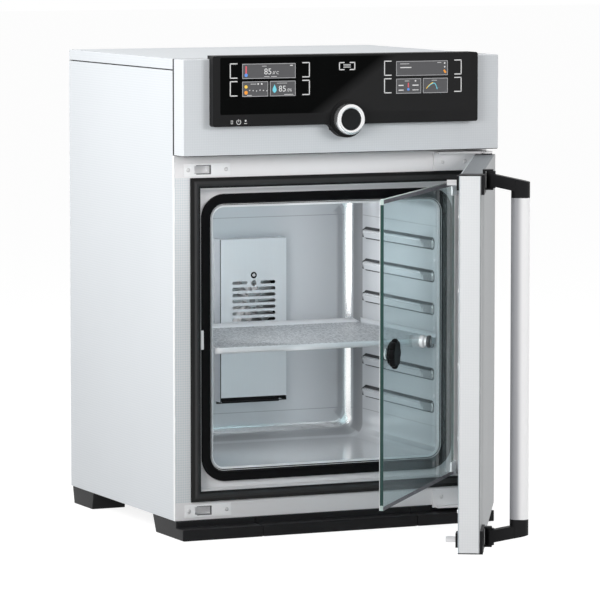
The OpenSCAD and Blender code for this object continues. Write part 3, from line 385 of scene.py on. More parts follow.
UPRIGHT, LEVEL, EVEN = (1.0, 1.0, 0.02), (0.05, 1.0, 1.0), (1.0, 1.0, 1.0)
BRIGHT = ((0.97, 0.97, 0.98), (0.90, 0.90, 0.91), 0.15, 0.30, (0.05, 0.05, 1.0))
for name, *look in (
        ("panel_steel", (0.54, 0.60, 0.63), (0.46, 0.51, 0.54), 0.6, 0.34, (0.02, 0.02, 1.0)),
        ("fitting_steel", (0.72, 0.72, 0.73), (0.60, 0.60, 0.61), 0.9, 0.30, LEVEL),
        ("bright_rim", *BRIGHT),
        ("plate_steel", (0.90, 0.89, 0.90), (0.84, 0.83, 0.84), 0.15, 0.38, LEVEL),
        ("dial_bright", (0.95, 0.95, 0.95), (0.88, 0.88, 0.89), 0.85, 0.18, (1.0, 0.05, 1.0)),
        ("screw_steel", (0.66, 0.66, 0.67), (0.50, 0.50, 0.51), 1.0, 0.25, EVEN),
        ("chrome", (0.86, 0.86, 0.87), (0.80, 0.80, 0.81), 1.0, 0.16, EVEN, 0.00001)):
    brushed(name, *look)
print("finishes", len(finishes))


# %% Paints
def painted(name, light, dark, rough):
    """Smooth paint: fine noise for the orange peel of spraying, slow noise for its shading."""
    paint = Finish(name, light, metallic=0.0, rough=rough)
    peel = paint.noise(420.0, 1.0)
    paint.tone(paint.noise(4.0), dark, light)
    paint.shade({"Roughness": paint.span(peel, rough * 0.9, rough * 1.15)})
    paint.relief(peel, 0.12, 0.00005)
    return paint


painted("screw_paint", (0.72, 0.715, 0.72), (0.66, 0.655, 0.66), 0.7)
painted("back_sheet", (0.58, 0.59, 0.60), (0.50, 0.51, 0.52), 0.45)
painted("motor_grey", (0.33, 0.34, 0.35), (0.24, 0.25, 0.26), 0.5)
# painted_shade_black is no real paint: a near-black finish for a sheet that stands for painted shade.
painted("painted_shade_black", (0.010, 0.010, 0.011), (0.006, 0.006, 0.007), 0.8)
print("finishes", len(finishes))


# %% Plastics and rubbers
def moulded(name, light, dark, rough, grain=1600.0, depth=0.00006, gloss=0.25):
    """Moulded plastic or rubber: the distance to the nearest of many scattered points gives a fine
    leathery grain in the surface and in the gloss."""
    mould = Finish(name, light, metallic=0.0, rough=rough, gloss=gloss)
    cells = mould.add("TexVoronoi", {"Vector": mould.where, "Scale": grain}).outputs["Distance"]
    mould.tone(mould.noise(30.0), dark, light)
    mould.shade({"Roughness": mould.span(cells, rough * 0.85, rough * 1.2)})
    mould.relief(cells, 0.3, depth)
    return mould


for name, *look in (
        ("deep_rubber", (0.0035, 0.0035, 0.004), (0.0025, 0.0025, 0.003), 0.55, 2200.0, 0.00006, 0.10),
        ("black_plastic", (0.014, 0.014, 0.015), (0.010, 0.010, 0.011), 0.42, 1600.0, 0.00006, 0.13),
        ("knob_plastic", (0.004, 0.004, 0.0045), (0.003, 0.003, 0.0033), 0.5, 1600.0, 0.00006, 0.08),
        ("bezel_plastic", (0.013, 0.013, 0.0135), (0.010, 0.010, 0.0105), 0.5, 2600.0, 0.00006, 0.15),
        ("key_plastic", (0.012, 0.013, 0.014), (0.009, 0.0095, 0.010), 0.35, 2600.0, 0.00002, 0.15),
        ("sensor_plastic", (0.42, 0.42, 0.43), (0.34, 0.34, 0.35), 0.5),
        ("mineral_wool", (0.62, 0.55, 0.30), (0.48, 0.42, 0.22), 0.95, 500.0, 0.001),
        ("heater_rubber", (0.42, 0.20, 0.07), (0.33, 0.15, 0.05), 0.7, 700.0, 0.0002),
        ("board_green", (0.03, 0.20, 0.07), (0.02, 0.14, 0.05), 0.4, 300.0, 0.0002),
        ("screen_grey", (0.06, 0.065, 0.07), (0.045, 0.05, 0.055), 0.2, 300.0, 0.000002),
        ("border_grey", (0.21, 0.185, 0.205), (0.17, 0.15, 0.165), 0.25, 900.0, 0.00001)):
    moulded(name, *look)
print("finishes", len(finishes))

# %% Grooved seal and bumper
rubber = moulded("seal_rubber", (0.038, 0.038, 0.039), (0.030, 0.030, 0.031), 0.42, 2200.0)
# groove lays painted shade on the seal beside its bulb, which stays lighter as a painted highlight, and a
# dark painted reflection on the bumper's front rings.
rubber.recolour(rubber.mark("groove"), (0.003, 0.003, 0.003))
spool = brushed("bumper_chrome", (0.70, 0.68, 0.69), (0.58, 0.565, 0.57), 0.55, 0.32, EVEN, 0.00001)
spool.recolour(spool.mark("groove"), (0.05, 0.05, 0.053))
print("grooved finishes", rubber.material.name, spool.material.name)

# %% [markdown]
# ## Front frame, keepers and handle bar
# The frame is sprayed sheet; on its two columns beside the seal the linen shows through. A latch
# keeper is a bright block with a slot; the shade along the slot's edges and on its end wall is painted,
# as it is too thin to model. The handle bar is satin aluminium, with painted shade on the side that
# faces the door. Masks recolour all three, because lines of a millimetre would cost many faces as solids.

# %% Frame paint
paint = painted("frame_paint", (0.90, 0.885, 0.895), (0.84, 0.83, 0.84), 0.38)
seal_low, seal_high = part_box("outer_seal")
weave = paint.math("ADD", *paint.waves("xz", LINEN_PITCH))
weave = paint.span(weave, 0.75, 0.15, -1.6, 1.6)
beside = paint.above(paint.apart(paint.x, 0.0), seal_high.x)
level = paint.between(paint.z, seal_low.z, seal_high.z)
paint.recolour(paint.times(beside, level, weave), (0.62, 0.69, 0.72))
print("linen columns from x", round(seal_high.x, 4))

# %% Latch keepers
SLOT_HALF, SLOT_L, SLOT_BEYOND = 0.0061, 0.025, 0.006
LINE, END_WALL, FRONT_PART = 0.0014, (-0.0003, 0.0006), 0.0045
zinc = brushed("keeper_zinc", *BRIGHT)
keepers = [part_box(name) for name in ("upper_latch_keeper", "lower_latch_keeper")]
drop = zinc.math("MINIMUM", *(zinc.apart(zinc.z, (low.z + high.z) / 2) for low, high in keepers))
slot_end = (keepers[0][0].x + keepers[0][1].x) / 2 + SLOT_BEYOND
# Painted shade: dark lines along the slot's edges and on its end wall.
lines = zinc.times(zinc.between(drop, SLOT_HALF, SLOT_HALF + LINE),
                   zinc.between(zinc.x, slot_end - SLOT_L, slot_end))
end_wall_shade = zinc.times(zinc.below(drop, SLOT_HALF + LINE),
                      zinc.between(zinc.x, *(slot_end + step for step in END_WALL)))
at_front = zinc.below(zinc.y, FRONT_PART)
zinc.recolour(zinc.times(zinc.most(lines, end_wall_shade), at_front, 0.9), (0.03, 0.03, 0.033))
print("keeper slots end at x", round(slot_end, 4))

# %% Handle bar
PALE_AT, SHADED_AT = 0.0052, -0.0056
aluminium = brushed("bar_aluminium", (0.97, 0.97, 0.975), (0.94, 0.94, 0.95), 0.15, 0.36, UPRIGHT)
bar_low, bar_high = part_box("handle_bar")
outward = aluminium.along(door_out, (bar_low + bar_high) / 2)
# Painted shade: the bar turns grey on the side that faces the door.
aluminium.recolour(aluminium.soft_step(outward, PALE_AT, SHADED_AT, 0.88), (0.33, 0.335, 0.36))
print("bar length", round(bar_high.z - bar_low.z, 3))

# %% [markdown]
# ## Glass and lacquer
# The pane is clear glass with a faint green tint. Refraction would bend the view of the chamber
# and needs many bounces, so light goes almost straight on and a clear coat gives the gloss. The
# control panel is glass with black lacquer behind it.


# %% Pane
def tinted_glass(name, tint):
    """Clear float glass. Its light goes straight on, as in the photograph, and its gloss is a coat."""
    glass = Finish(name, tint, metallic=0.0, rough=0.02)
    glass.shade({"Roughness": glass.span(glass.noise(14.0), 0.01, 0.03), "IOR": 1.06,
                 "Transmission Weight": 0.985, "Coat Weight": 0.7, "Coat Roughness": 0.02, "Coat IOR": 1.45})


END_HIGHLIGHT = 0.008
tinted_glass("pane_glass", (0.74, 0.855, 0.87))
edge_glass = moulded("edge_glass", (0.022, 0.075, 0.066), (0.012, 0.045, 0.040), 0.12, 900.0, 0.00002)
pane_low, pane_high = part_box("glass_pane")
# Painted highlight: the pane's top and bottom edges are lighter than its upright edges.
upright = edge_glass.between(edge_glass.z, pane_low.z + END_HIGHLIGHT, pane_high.z - END_HIGHLIGHT)
edge_glass.recolour(edge_glass.times(edge_glass.outside(upright), 0.8), (0.62, 0.74, 0.70))
print("pane height", round(pane_high.z - pane_low.z, 3))


# %% Black control glass
def panel_lacquer(name):
    """Black lacquer behind glass. A soft slanted step, a line in x and z, parts the deep black half
    from a greyer half, which is a painted reflection in the glass."""
    foot_z, slope, black_at, reflection_at = 0.70, 1.40, -0.050, -0.016
    lacquer = Finish(name, (0.006, 0.006, 0.007), metallic=0.0, rough=0.07, gloss=0.03)
    lean = lacquer.times(lacquer.math("SUBTRACT", lacquer.z, foot_z), slope)
    step = lacquer.span(lacquer.math("SUBTRACT", lacquer.x, lean), 0.0, 1.0, black_at, reflection_at)
    cloud = lacquer.noise(40.0)
    lacquer.tone(lacquer.blend(step, cloud, 0.06), (0.0010, 0.0013, 0.0013), (0.024, 0.024, 0.0245))
    lacquer.shade({"Roughness": lacquer.span(cloud, 0.05, 0.09)})


panel_lacquer("panel_gloss")
print("panel ready")

# %% [markdown]
# ## Chamber steel
# The chamber, its fan cover and its tray are brushed stainless. Polished bends and beads mirror
# bright and dark parts of a room as stripes. A plain white studio has no such parts, so attributes
# of the surface say where a stripe is dark or glints. The tray's punched floor is speckled.

# %% Liner steel
REAR_SHADE_Y, SIDE_SHADE_X, JOINT_Z, JOINT_HALF = (0.318, 0.350), (0.085, 0.172), (0.488, 0.1535), 0.0006


def liner_steel(name, light, dark):
    """Brushed stainless of the chamber. Painted shade darkens the rear wall, more towards its sides; the
    attribute flank paints shade and dark reflections on bends and beads, glint paints highlights on them,
    and two fine joint lines run round the walls."""
    steel = Finish(name, light, metallic=0.40, rough=0.18, gloss=0.2)
    hair = steel.noise(900.0, 3.0, (1.0, 0.02, 1.0))
    steel.tone(steel.blend(hair, steel.noise(5.0), 0.45), dark, light)
    rear = steel.soft_step(steel.y, *REAR_SHADE_Y, 0.45)
    steel.recolour(rear, (0.49, 0.52, 0.56))
    side = steel.soft_step(steel.apart(steel.x, 0.0), *SIDE_SHADE_X, 0.65)
    steel.recolour(steel.times(rear, side), (0.22, 0.235, 0.25))
    lines = [steel.below(steel.apart(steel.z, height), JOINT_HALF) for height in JOINT_Z]
    flank, glint = steel.mark("flank"), steel.mark("glint")
    dark_marks = steel.most(steel.times(steel.most(*lines), 0.35), steel.times(flank, 0.96))
    steel.recolour(dark_marks, (0.02, 0.02, 0.022))
    steel.recolour(glint, WHITE)
    bare = steel.times(steel.span(glint, 0.28, 1.0), steel.span(flank, 1.0, 0.0))
    steel.shade({"Metallic": bare, "Roughness": steel.span(hair, 0.15, 0.22)})
    steel.relief(hair, 0.2, 0.00004)


liner_steel("chamber_steel", (0.94, 0.96, 0.98), (0.86, 0.885, 0.91))
print("liner steel ready")

# %% Tray steel
FOLD_UP, FLOOR_HALF = 0.008, 0.0004
tray_steel = brushed("shelf_steel", (0.92, 0.94, 0.96), (0.84, 0.86, 0.89), 0.35, 0.42, (0.02, 1.0, 1.0))
speckle = tray_steel.span(tray_steel.noise(430.0, 1.0, (1.0, 0.30, 1.0)), 0.18, 0.62, 0.56, 0.44)
tray_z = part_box("shelf")[1].z - FOLD_UP
on_floor = tray_steel.below(tray_steel.apart(tray_steel.z, tray_z), FLOOR_HALF)
tray_steel.recolour(tray_steel.times(speckle, on_floor), (0.25, 0.27, 0.29))
print("tray floor at", round(tray_z, 4))

# %% Fan cover steel
AIR_GAP, BORDER_X, BORDER_Z, DARK_RING_R = 0.0075, 0.010, 0.012, 0.0056
SKIN, FOLD_Y = 0.0003, (0.0012, 0.0050)
cover = brushed("cover_steel", (0.90, 0.92, 0.94), (0.82, 0.84, 0.87), 0.5, 0.36, UPRIGHT)
cover_low, cover_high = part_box("fan_cover")
screw_low, screw_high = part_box("fan_cover_screw")
screw_mid = [(a + b) / 2 for a, b in zip(screw_low, screw_high)]
# Painted shade: the open air gap at the bottom, a fold on the left side and the walls of the slots are dark.
# A dark ring also lies round the screw.
air_gap_shade = cover.times(cover.below(cover.z, cover_low.z + AIR_GAP),
                      cover.above(cover.x, cover_low.x + SKIN))
side_fold_shade = cover.times(cover.below(cover.x, cover_low.x + 0.0002),
                        cover.between(cover.y, *(cover_low.y + step for step in FOLD_Y)))
screw_at = (screw_mid[0], cover_low.y, screw_mid[2])
away = cover.add("VectorMath", {0: cover.spot, 1: screw_at}, operation="DISTANCE").outputs["Value"]
slot_wall_shade = cover.times(cover.between(cover.x, cover_low.x + BORDER_X, cover_high.x - BORDER_X),
                         cover.between(cover.z, cover_low.z + BORDER_Z, cover_high.z - BORDER_Z),
                         cover.above(cover.y, cover_low.y + SKIN))
dark_ring = cover.below(away, DARK_RING_R)
cover.recolour(cover.most(air_gap_shade, side_fold_shade, dark_ring, slot_wall_shade), (0.012, 0.012, 0.013))
print("fan cover screw at", [round(v, 3) for v in screw_mid])

# %% [markdown]
# ## Finishes on the CAD nodes
# A node whose shape is right keeps its solid. Sheet steel and mouldings have no knife edges,
# so a weld and a narrow bevel round every sharp edge, which catches the light as on the real one.

# %% Give the nodes their finishes
WORN_BY = {
    "casing_linen": "left_side_panel right_side_panel top_cover",
    "fascia_linen": "fascia",
    "door_linen": "door_shell",
    "back_sheet": "rear_panel base_pan",
    "frame_paint": "front_frame inner_frame",
    "seal_rubber": "outer_seal",
    "deep_rubber": "inner_seal",
    "chamber_steel": "inner_chamber chamber_back wall_beads",
    "shelf_steel": "shelf",
    "cover_steel": "fan_cover",
    "panel_steel": "door_inner_panel",
    "mineral_wool": "insulation door_insulation",
    "heater_rubber": "heater_mats",
    "plate_steel": "upper_hinge_bracket lower_hinge_bracket",
    "bright_rim": "door_panel_screws glass_hinge_brackets glass_latch_strike glass_clamps",
    "keeper_zinc": "upper_latch_keeper lower_latch_keeper",
    "fitting_steel": "latch_pins glass_latch_tongue fan_wheel temperature_probe",
    "screw_steel": "fan_cover_screw",
    "screw_paint": "frame_screws",
    "chrome": "dial_ring glass_bumper glass_knob_bush",
    "motor_grey": "fan_motor steam_generator power_supply dial_encoder",
    "bezel_plastic": "control_bezel",
    "panel_gloss": "control_glass",
    "key_plastic": "confirm_key",
    "screen_grey": "displays",
    "board_green": "control_board",
    "sensor_plastic": "humidity_sensor",
    "black_plastic": "left_front_foot right_front_foot plinth_bar rear_feet power_inlet door_bushes "
                     "upper_corner_block lower_corner_block upper_handle_arm lower_handle_arm glass_knob",
    "bar_aluminium": "handle_bar",
    "pane_glass": "glass_pane",
}
for finish, names in WORN_BY.items():
    for name in names.split():
        nodes[name].data.materials.clear()
        nodes[name].data.materials.append(finishes[finish])
nodes["glass_pane"].visible_shadow = False
print("dressed", len(nodes), "nodes")

# %% Round the edges, by a width in millimetres
SOFT_EDGES = {
    0.6: "left_side_panel right_side_panel base_pan front_frame door_inner_panel upper_latch_keeper "
         "lower_latch_keeper glass_clamps glass_latch_strike glass_hinge_brackets latch_pins power_inlet "
         "control_glass glass_knob_bush",
    0.9: "top_cover upper_hinge_bracket lower_hinge_bracket control_bezel handle_bar inner_frame",
    1.4: "fascia door_shell upper_corner_block lower_corner_block",
    2.0: "left_front_foot right_front_foot plinth_bar rear_feet",
    3.5: "upper_handle_arm lower_handle_arm",
}
WELD, KNIFE_EDGE = 0.00002, 40
for width, names in SOFT_EDGES.items():
    for name in names.split():
        weld = nodes[name].modifiers.new("weld", "WELD")
        weld.merge_threshold = WELD
        bevel = nodes[name].modifiers.new("round", "BEVEL")
        bevel.width = width * MM
        bevel.segments = 2
        bevel.limit_method = "ANGLE"
        bevel.angle_limit = math.radians(KNIFE_EDGE)
        even = nodes[name].modifiers.new("even", "WEIGHTED_NORMAL")
        even.keep_sharp = False
print("rounded", sum(1 for o in nodes.values() if o.modifiers), "nodes")

# %% [markdown]
# ## Surfaces from numpy
# Each new piece starts as an array of points on a grid: one direction round or along the piece,
# the other across it. The quads follow from the grid's numbering, so a shape is one formula.


# %% Mesh helpers
def box_mm(name):
    """The low and the high corner of a CAD node, in millimetres."""
    return [np.array(corner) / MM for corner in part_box(name)]


def grid_faces(rows, columns, wrap_rows=False, wrap_columns=False):
    """Quads between neighbours of a grid of points that is numbered row by row."""
    index = np.arange(rows * columns).reshape(rows, columns)
    if wrap_rows:
        index = np.concatenate([index, index[:1]], 0)
    if wrap_columns:
        index = np.concatenate([index, index[:, :1]], 1)
    return np.stack([index[:-1, :-1], index[:-1, 1:], index[1:, 1:], index[1:, :-1]], -1)


def mounted(name, mesh, body, finish):
    """Makes an object of a mesh, in its finish and on its body."""
    mesh.materials.append(finishes[finish])
    made = placed(name, mesh)
    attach(made, body)
    return made


print("mesh helpers ready")

# %% Piece helpers
MERGE, SHARP = 2e-6, 48


def piece(name, points, faces, body, finish, slot, closed=True, smooth=True, marks=None):
    """Makes one mesh object of points in metres and faces of point numbers. Doubled points merge, so
    seams and poles close; a closed shape has its faces turned outward; marks are point attributes."""
    mesh = bpy.data.meshes.new(name)
    mesh.from_pydata(np.reshape(points, (-1, 3)).tolist(), [], np.reshape(faces, (-1, 4)).tolist())
    for mark, values in (marks or {}).items():
        attribute = mesh.attributes.new(mark, "FLOAT", "POINT")
        attribute.data.foreach_set("value", np.ravel(values).astype(np.float32))
    work = bmesh.new()
    work.from_mesh(mesh)
    bmesh.ops.remove_doubles(work, verts=work.verts, dist=MERGE)
    if closed:
        bmesh.ops.recalc_face_normals(work, faces=work.faces)
    work.to_mesh(mesh)
    work.free()
    mesh.polygons.foreach_set("use_smooth", np.full(len(mesh.polygons), smooth))
    mesh.set_sharp_from_angle(angle=math.radians(SHARP))
    return mounted(name, mesh, body, finish)


def loop_piece(name, points, *mount, ring=True, **more):
    """A piece whose grid closes on itself along its columns and, as a ring, along its rows too."""
    return piece(name, points, grid_faces(*points.shape[:2], ring, True), *mount, **more)


print("points closer than", MERGE, "merge")


# %% Places on the open doors
def turned(points, joint, angle):
    """Turns points about a joint's upright axis: (x, y) times cosine and sine of the angle."""
    pivot = np.array(joints[joint]["pos_m"][:2])
    c, s = math.cos(angle), math.sin(angle)
    x, y = np.moveaxis(points[..., :2] - pivot, -1, 0)
    return np.stack([pivot[0] + x * c - y * s, pivot[1] + x * s + y * c, points[..., 2]], -1)


def on_glass_door(points):
    """Carries points drawn on the shut glass door to where it stands open."""
    return turned(points, "glass_door_hinge", glass_angle)


print("doors open", round(math.degrees(door_angle), 1), round(math.degrees(glass_angle), 1))


# %% Turned and swept shapes
def lathe(profile, centre, steps):
    """Turns a profile of (radius, y) in millimetres round an axis along Y through centre (x, z):
    x = centre x + radius cos a, z = centre z + radius sin a."""
    profile = np.array(profile, float)
    turn = np.linspace(0.0, 2 * np.pi, steps, endpoint=False)
    radius, along = profile[:, :1], profile[:, 1:]
    x = centre[0] + radius * np.cos(turn)
    z = centre[1] + radius * np.sin(turn)
    return np.stack([x, along + 0 * turn, z], -1) * MM


def rounded_loop(half_w, half_h, radius, steps):
    """Corner centres and outward directions round a rectangle, with round corners or, at radius 0,
    mitred ones."""
    signs = np.array([[1, 1], [-1, 1], [-1, -1], [1, -1]])
    if radius == 0:
        return signs * [half_w, half_h], signs
    turn = np.linspace(0.0, np.pi / 2, steps)
    angle = np.concatenate([turn + i * np.pi / 2 for i in range(4)])
    corner = np.repeat(signs, steps, axis=0)
    return corner * [half_w - radius, half_h - radius], np.stack([np.cos(angle), np.sin(angle)], 1)


def sweep(profile, half_w, half_h, radius, middle, steps=12):
    """Carries a profile of (offset outward, y) round a rectangle with round corners, in millimetres:
    point = corner centre + (radius + offset) times the outward direction."""
    profile = np.array(profile, float)
    core, out = rounded_loop(half_w, half_h, radius, steps)
    flat = core[None] + (radius + profile[:, :1, None]) * out[None]
    y = np.broadcast_to(profile[:, 1:], flat.shape[:2])
    return np.stack([middle[0] + flat[..., 0], y, middle[1] + flat[..., 1]], -1) * MM


print("shapes ready")

# %% [markdown]
# ## Chamber liner
# The chamber is one deep box of stainless sheet. Its long edges and its rear edges are bent to a
# radius, and six long beads are pressed out of each side wall to carry the tray. A grid does it:
# columns run round the opening, rows run from the rim to the back and then inwards across it.
# Moving the points of the side walls by a distance-to-bead formula presses the beads. A dark
# sheet behind the fan cover stands for the unlit space there.

# %% Liner sizes
SHEET, LINER_T, RIM_IN = 1.5, 1.2, 7.0
LONG_R, UPRIGHT_R, LEVEL_R = 22.0, 33.0, 32.0
BEADS, BEAD_H, BEAD_T, BEAD_R, FLANK, TOP_FLANK = 6, 19.0, 6.5, 6.0, 2.4, 4.6
FIRST_BEAD, BEAD_LIFT, BEAD_BACK = 21.0, 1.4, 8.0
liner_low, liner_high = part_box("inner_chamber")
half_w = liner_high.x / MM - SHEET
half_h = (liner_high.z - liner_low.z) / 2 / MM - SHEET
middle_z = (liner_high.z + liner_low.z) / 2 / MM
rim_y, back_y = liner_low.y / MM + RIM_IN, liner_high.y / MM - SHEET
in_w, in_h = half_w - LONG_R, half_h - LONG_R
bead_low, bead_high = box_mm("wall_beads")
bead_tops = np.linspace(bead_low[2] + FIRST_BEAD, bead_high[2], BEADS) + BEAD_LIFT
bead_y = (bead_low[1] + BEAD_BACK, bead_high[1])
print("chamber", round(2 * half_w), "x", round(2 * half_h), "x", round(back_y - rim_y))
print("bead tops", bead_tops.round(1))


# %% Bead shape
TIP, RAMP_LOW, RAMP_L, RAMP_LEAN = (1.5, 4.6), 0.45, 34.0, 23.0


def bead_shape(y, z):
    """How far the sheet stands out, and where it is dark or glints. The depth inside a bead's rounded
    outline, over the flank's width, gives the height, cut off at 1. The front end is a ramp that is
    longer at the top. The flanks and the ramp get painted shade; the upper edge and the front tip get a
    painted highlight."""
    level = z[..., None] - (bead_tops - BEAD_H / 2)
    dz = np.abs(level) - BEAD_H / 2 + BEAD_R
    dy = np.abs(y - sum(bead_y) / 2)[..., None] - (bead_y[1] - bead_y[0]) / 2 + BEAD_R
    depth = BEAD_R - np.hypot(np.maximum(dy, 0), np.maximum(dz, 0)) - np.minimum(np.maximum(dy, dz), 0)
    nearest = depth.argmax(-1)[..., None]
    depth, level = (np.take_along_axis(a, nearest, -1)[..., 0] for a in (depth, level))
    below_top = BEAD_H / 2 - level
    edge = np.clip(np.minimum(depth / FLANK, below_top / TOP_FLANK), 0.0, 1.0)
    front = y - bead_y[0]
    ramp = np.clip((front - TIP[1]) / (RAMP_L + RAMP_LEAN * level / BEAD_H), 0.0, 1.0)
    ramp = RAMP_LOW + (1 - RAMP_LOW) * ramp
    dark = np.where(edge > 0.85, np.where(ramp < 0.98, 0.6, 0.0), np.where(depth > -0.75, 1.0, 0.0))
    dark = np.where((depth > 0) & (depth < 4.5) & (bead_y[1] - y < 12.0), 1.0, dark)
    tip = (front > TIP[0]) & (front < TIP[1]) & (depth > 1.4)
    ridge = (edge > 0.85) & (below_top < 6.8) & (ramp > 0.98) & (dark == 0.0)
    return edge * ramp, np.where(tip, 0.0, dark), np.where(tip | ridge, 0.9, 0.0)


print("bead height", BEAD_H, "thickness", BEAD_T)

# %% Liner columns
low_steps = np.array([-1.3, -0.7, 0.0, 0.9, 1.8, 2.4, 3.0])
top_steps = np.array([-1.3, -0.7, 0.0, 1.5, 3.0, 4.2, 5.0, 5.8, 6.7, 7.5])
wall_z = np.concatenate([np.append(top - BEAD_H + low_steps, top - top_steps[::-1]) for top in bead_tops])
wall_z = np.unique(np.append(wall_z - middle_z, [-in_h, in_h]).round(3))
across = np.linspace(-in_w, in_w, 14)
corner = np.linspace(0.0, np.pi / 2, 12)[1:-1]
runs = [(in_w, wall_z), (across[::-1], in_h), (-in_w, wall_z[::-1]), (across, -in_h)]
bends_at = [(in_w, in_h), (-in_w, in_h), (-in_w, -in_h), (in_w, -in_h)]
columns = [np.broadcast_arrays(*place, angle + side * np.pi / 2)
           for side in range(4) for place, angle in ((runs[side], 0.0), (bends_at[side], corner))]
core_x, core_z, facing = (np.concatenate(part) for part in zip(*columns))
out_x, out_z = np.cos(facing).round(9), np.sin(facing).round(9)
bend = UPRIGHT_R * out_x**2 + LEVEL_R * out_z**2
print("liner columns", core_x.size)

# %% Liner walls
front_steps = [-1.3, -0.7, 0, 0.8, 1.6, 2.4, 3.4, 4.5, 5.2, 7.0, 9.0, *np.linspace(12, 46, 12)]
rear_steps = [12.5, 9.0, 6.5, 5.2, 4.4, 3.6, 3.0, 2.4, 1.8, 0.9, 0, -0.7, -1.3]
lip = rim_y + np.array([0.0, 0.25, 0.9, 2.0])
lip_out = np.array([0.6, 0.3, 0.1, 0.0])
rows_y = np.unique(np.concatenate([lip, bead_y[0] + np.array(front_steps), bead_y[1] - np.array(rear_steps),
                                   np.linspace(100, 290, 5), [back_y - UPRIGHT_R]]))
stretch = (back_y - bend - rim_y) / (back_y - UPRIGHT_R - rim_y)
y = rim_y + (rows_y[:, None] - rim_y) * stretch[None]
flare = np.interp(rows_y, lip, lip_out)[:, None]
x = core_x + (LONG_R + flare) * out_x
z = middle_z + core_z + (LONG_R + flare) * out_z
pressed, wall_dark, wall_glint = (a * (np.abs(out_x) == 1.0) for a in bead_shape(y, z))
walls = np.stack([x - out_x * BEAD_T * pressed, y, z], -1)
# Painted highlight: a glint along the long lower bends, fading towards the back.
long_bend = (out_z < -0.35) & (out_z > -0.75) & (out_x != 0.0)
fading = np.interp(rows_y, [200.0, 300.0], [0.6, 0.0])[:, None]
wall_glint = np.maximum(wall_glint, long_bend[None] * fading)
print("liner rows", rows_y.size)

# %% Liner bends and back
fold = np.linspace(0.0, np.pi / 2, 18)[1:, None]
slim_x = (in_w - UPRIGHT_R * (1 - np.cos(fold))) / in_w
slim_z = (in_h - LEVEL_R * (1 - np.cos(fold))) / in_h
bends = np.stack([core_x * slim_x + LONG_R * out_x, back_y - bend * (1 - np.sin(fold)),
                  middle_z + core_z * slim_z + LONG_R * out_z], -1)
shrink = np.array([0.97, 0.6, 0.0])[:, None]
plate = np.stack([bends[-1, :, 0] * shrink, np.full((3, core_x.size), back_y),
                  middle_z + (bends[-1, :, 2] - middle_z) * shrink], -1)
print("bend rows", fold.size)


# %% Stripes of the bends
def within(low, high, columns):
    """True where the bend's angle lies between two angles, in the chosen columns."""
    return (fold > low) & (fold < high) & columns[None]


# Painted stripes of the bends: painted shade beside and behind the upright bends and above the lower one,
# painted highlights along them.
side, bottom = np.abs(out_x) > 0.7, out_z < -0.7
bend_dark = np.where(within(0.10, 0.75, side), 0.56, 0.0) + np.where(within(1.36, np.pi, side), 0.34, 0.0)
bend_dark = np.where(within(0.45, 0.93, bottom), 0.35, bend_dark)
bend_glint = np.where(within(0.85, 1.25, side), 0.9, 0.0)
bend_glint = np.where(within(0.98, 1.32, bottom), 0.85, bend_glint)
plain = np.zeros(plate.shape[:2])
marks = {"flank": np.concatenate([wall_dark, bend_dark, plain]),
         "glint": np.concatenate([wall_glint, bend_glint, plain])}
print("striped columns", side.sum(), bottom.sum())


# %% Liner piece
def thicken(made, thickness):
    """Gives an open sheet its thickness in millimetres, behind its visible side."""
    wall = made.modifiers.new("wall", "SOLIDIFY")
    wall.thickness = thickness * MM
    wall.offset = -1.0


points = np.concatenate([walls, bends, plate]) * MM
liner = loop_piece("chamber_liner", points, "cabinet", "chamber_steel", "chamber_steel", ring=False,
                   closed=False, marks=marks)
thicken(liner, LINER_T)
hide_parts("inner_chamber", "chamber_back", "wall_beads")
print("liner grid", points.shape[:2])


# %% Painted shade sheet behind the fan cover
def patch(x, y, z):
    """Points of a flat upright rectangle, from a pair of x, one y and a pair of z in millimetres."""
    x, z = np.array(x)[:, None], np.array(z)[None]
    return np.stack(np.broadcast_arrays(x, y, z), -1) * MM


# The sheet is painted shade: it stands for the unlit space behind the fan cover.
INSET, BELOW, PROUD = 2.0, 5.0, 1.0
(left, _, foot), (right, _, head) = box_mm("fan_cover")
shade_sheet = patch((left + INSET, right - INSET), back_y - PROUD, (foot - BELOW, head - INSET))
piece("cover_shade_sheet", shade_sheet, grid_faces(2, 2), "cabinet", "painted_shade_black", "chamber_steel", closed=False,
      smooth=False)
print("cover backing", round(right - left - 2 * INSET, 1), "wide")

# %% [markdown]
# ## Perforated tray
# The tray is one steel blank with notched corners: the front edge is folded down, the other three
# up, and the floor is punched with round holes. The folded blank is a grid whose two directions
# each follow a folded profile, without the corner patches. The punched field is a square cell
# with an eight-sided hole, repeated with numpy.

# %% Tray sizes
FLANGE, LIP, TURN, TRAY_T = 9.0, 10.0, 0.9, 1.0
HOLE, PITCH, MARGIN = 1.9, 6.0, [15.0, 4.0]
shelf_low, shelf_high = box_mm("shelf")
floor_top = shelf_high[2] - FLANGE + TRAY_T
tray_mid = (shelf_low[:2] + shelf_high[:2]) / 2
half_x, half_y = (shelf_high[:2] - shelf_low[:2]) / 2 - [TRAY_T, 0.0]
count = ((np.array([half_x, half_y]) - MARGIN) * 2 / PITCH).astype(int)
field = count * PITCH / 2
print("tray", round(2 * half_x), "x", round(2 * half_y), "holes", count)


# %% Folded blank
def folded(low, high, flat, low_edge, high_edge):
    """A folded profile, as places and heights: flat in the middle, a quarter turn of radius TURN at
    each end, then up or down to that end's edge."""
    turn = np.linspace(0.0, np.pi / 2, 5)
    inset, rise = TURN * (1 - np.cos(turn)), TURN * (1 - np.sin(turn))
    place = np.concatenate([[low], low + inset, [-flat, flat], (high - inset)[::-1], [high]])
    height = np.concatenate([[low_edge], np.sign(low_edge) * rise, [0, 0], rise[::-1], [high_edge]])
    return place, height


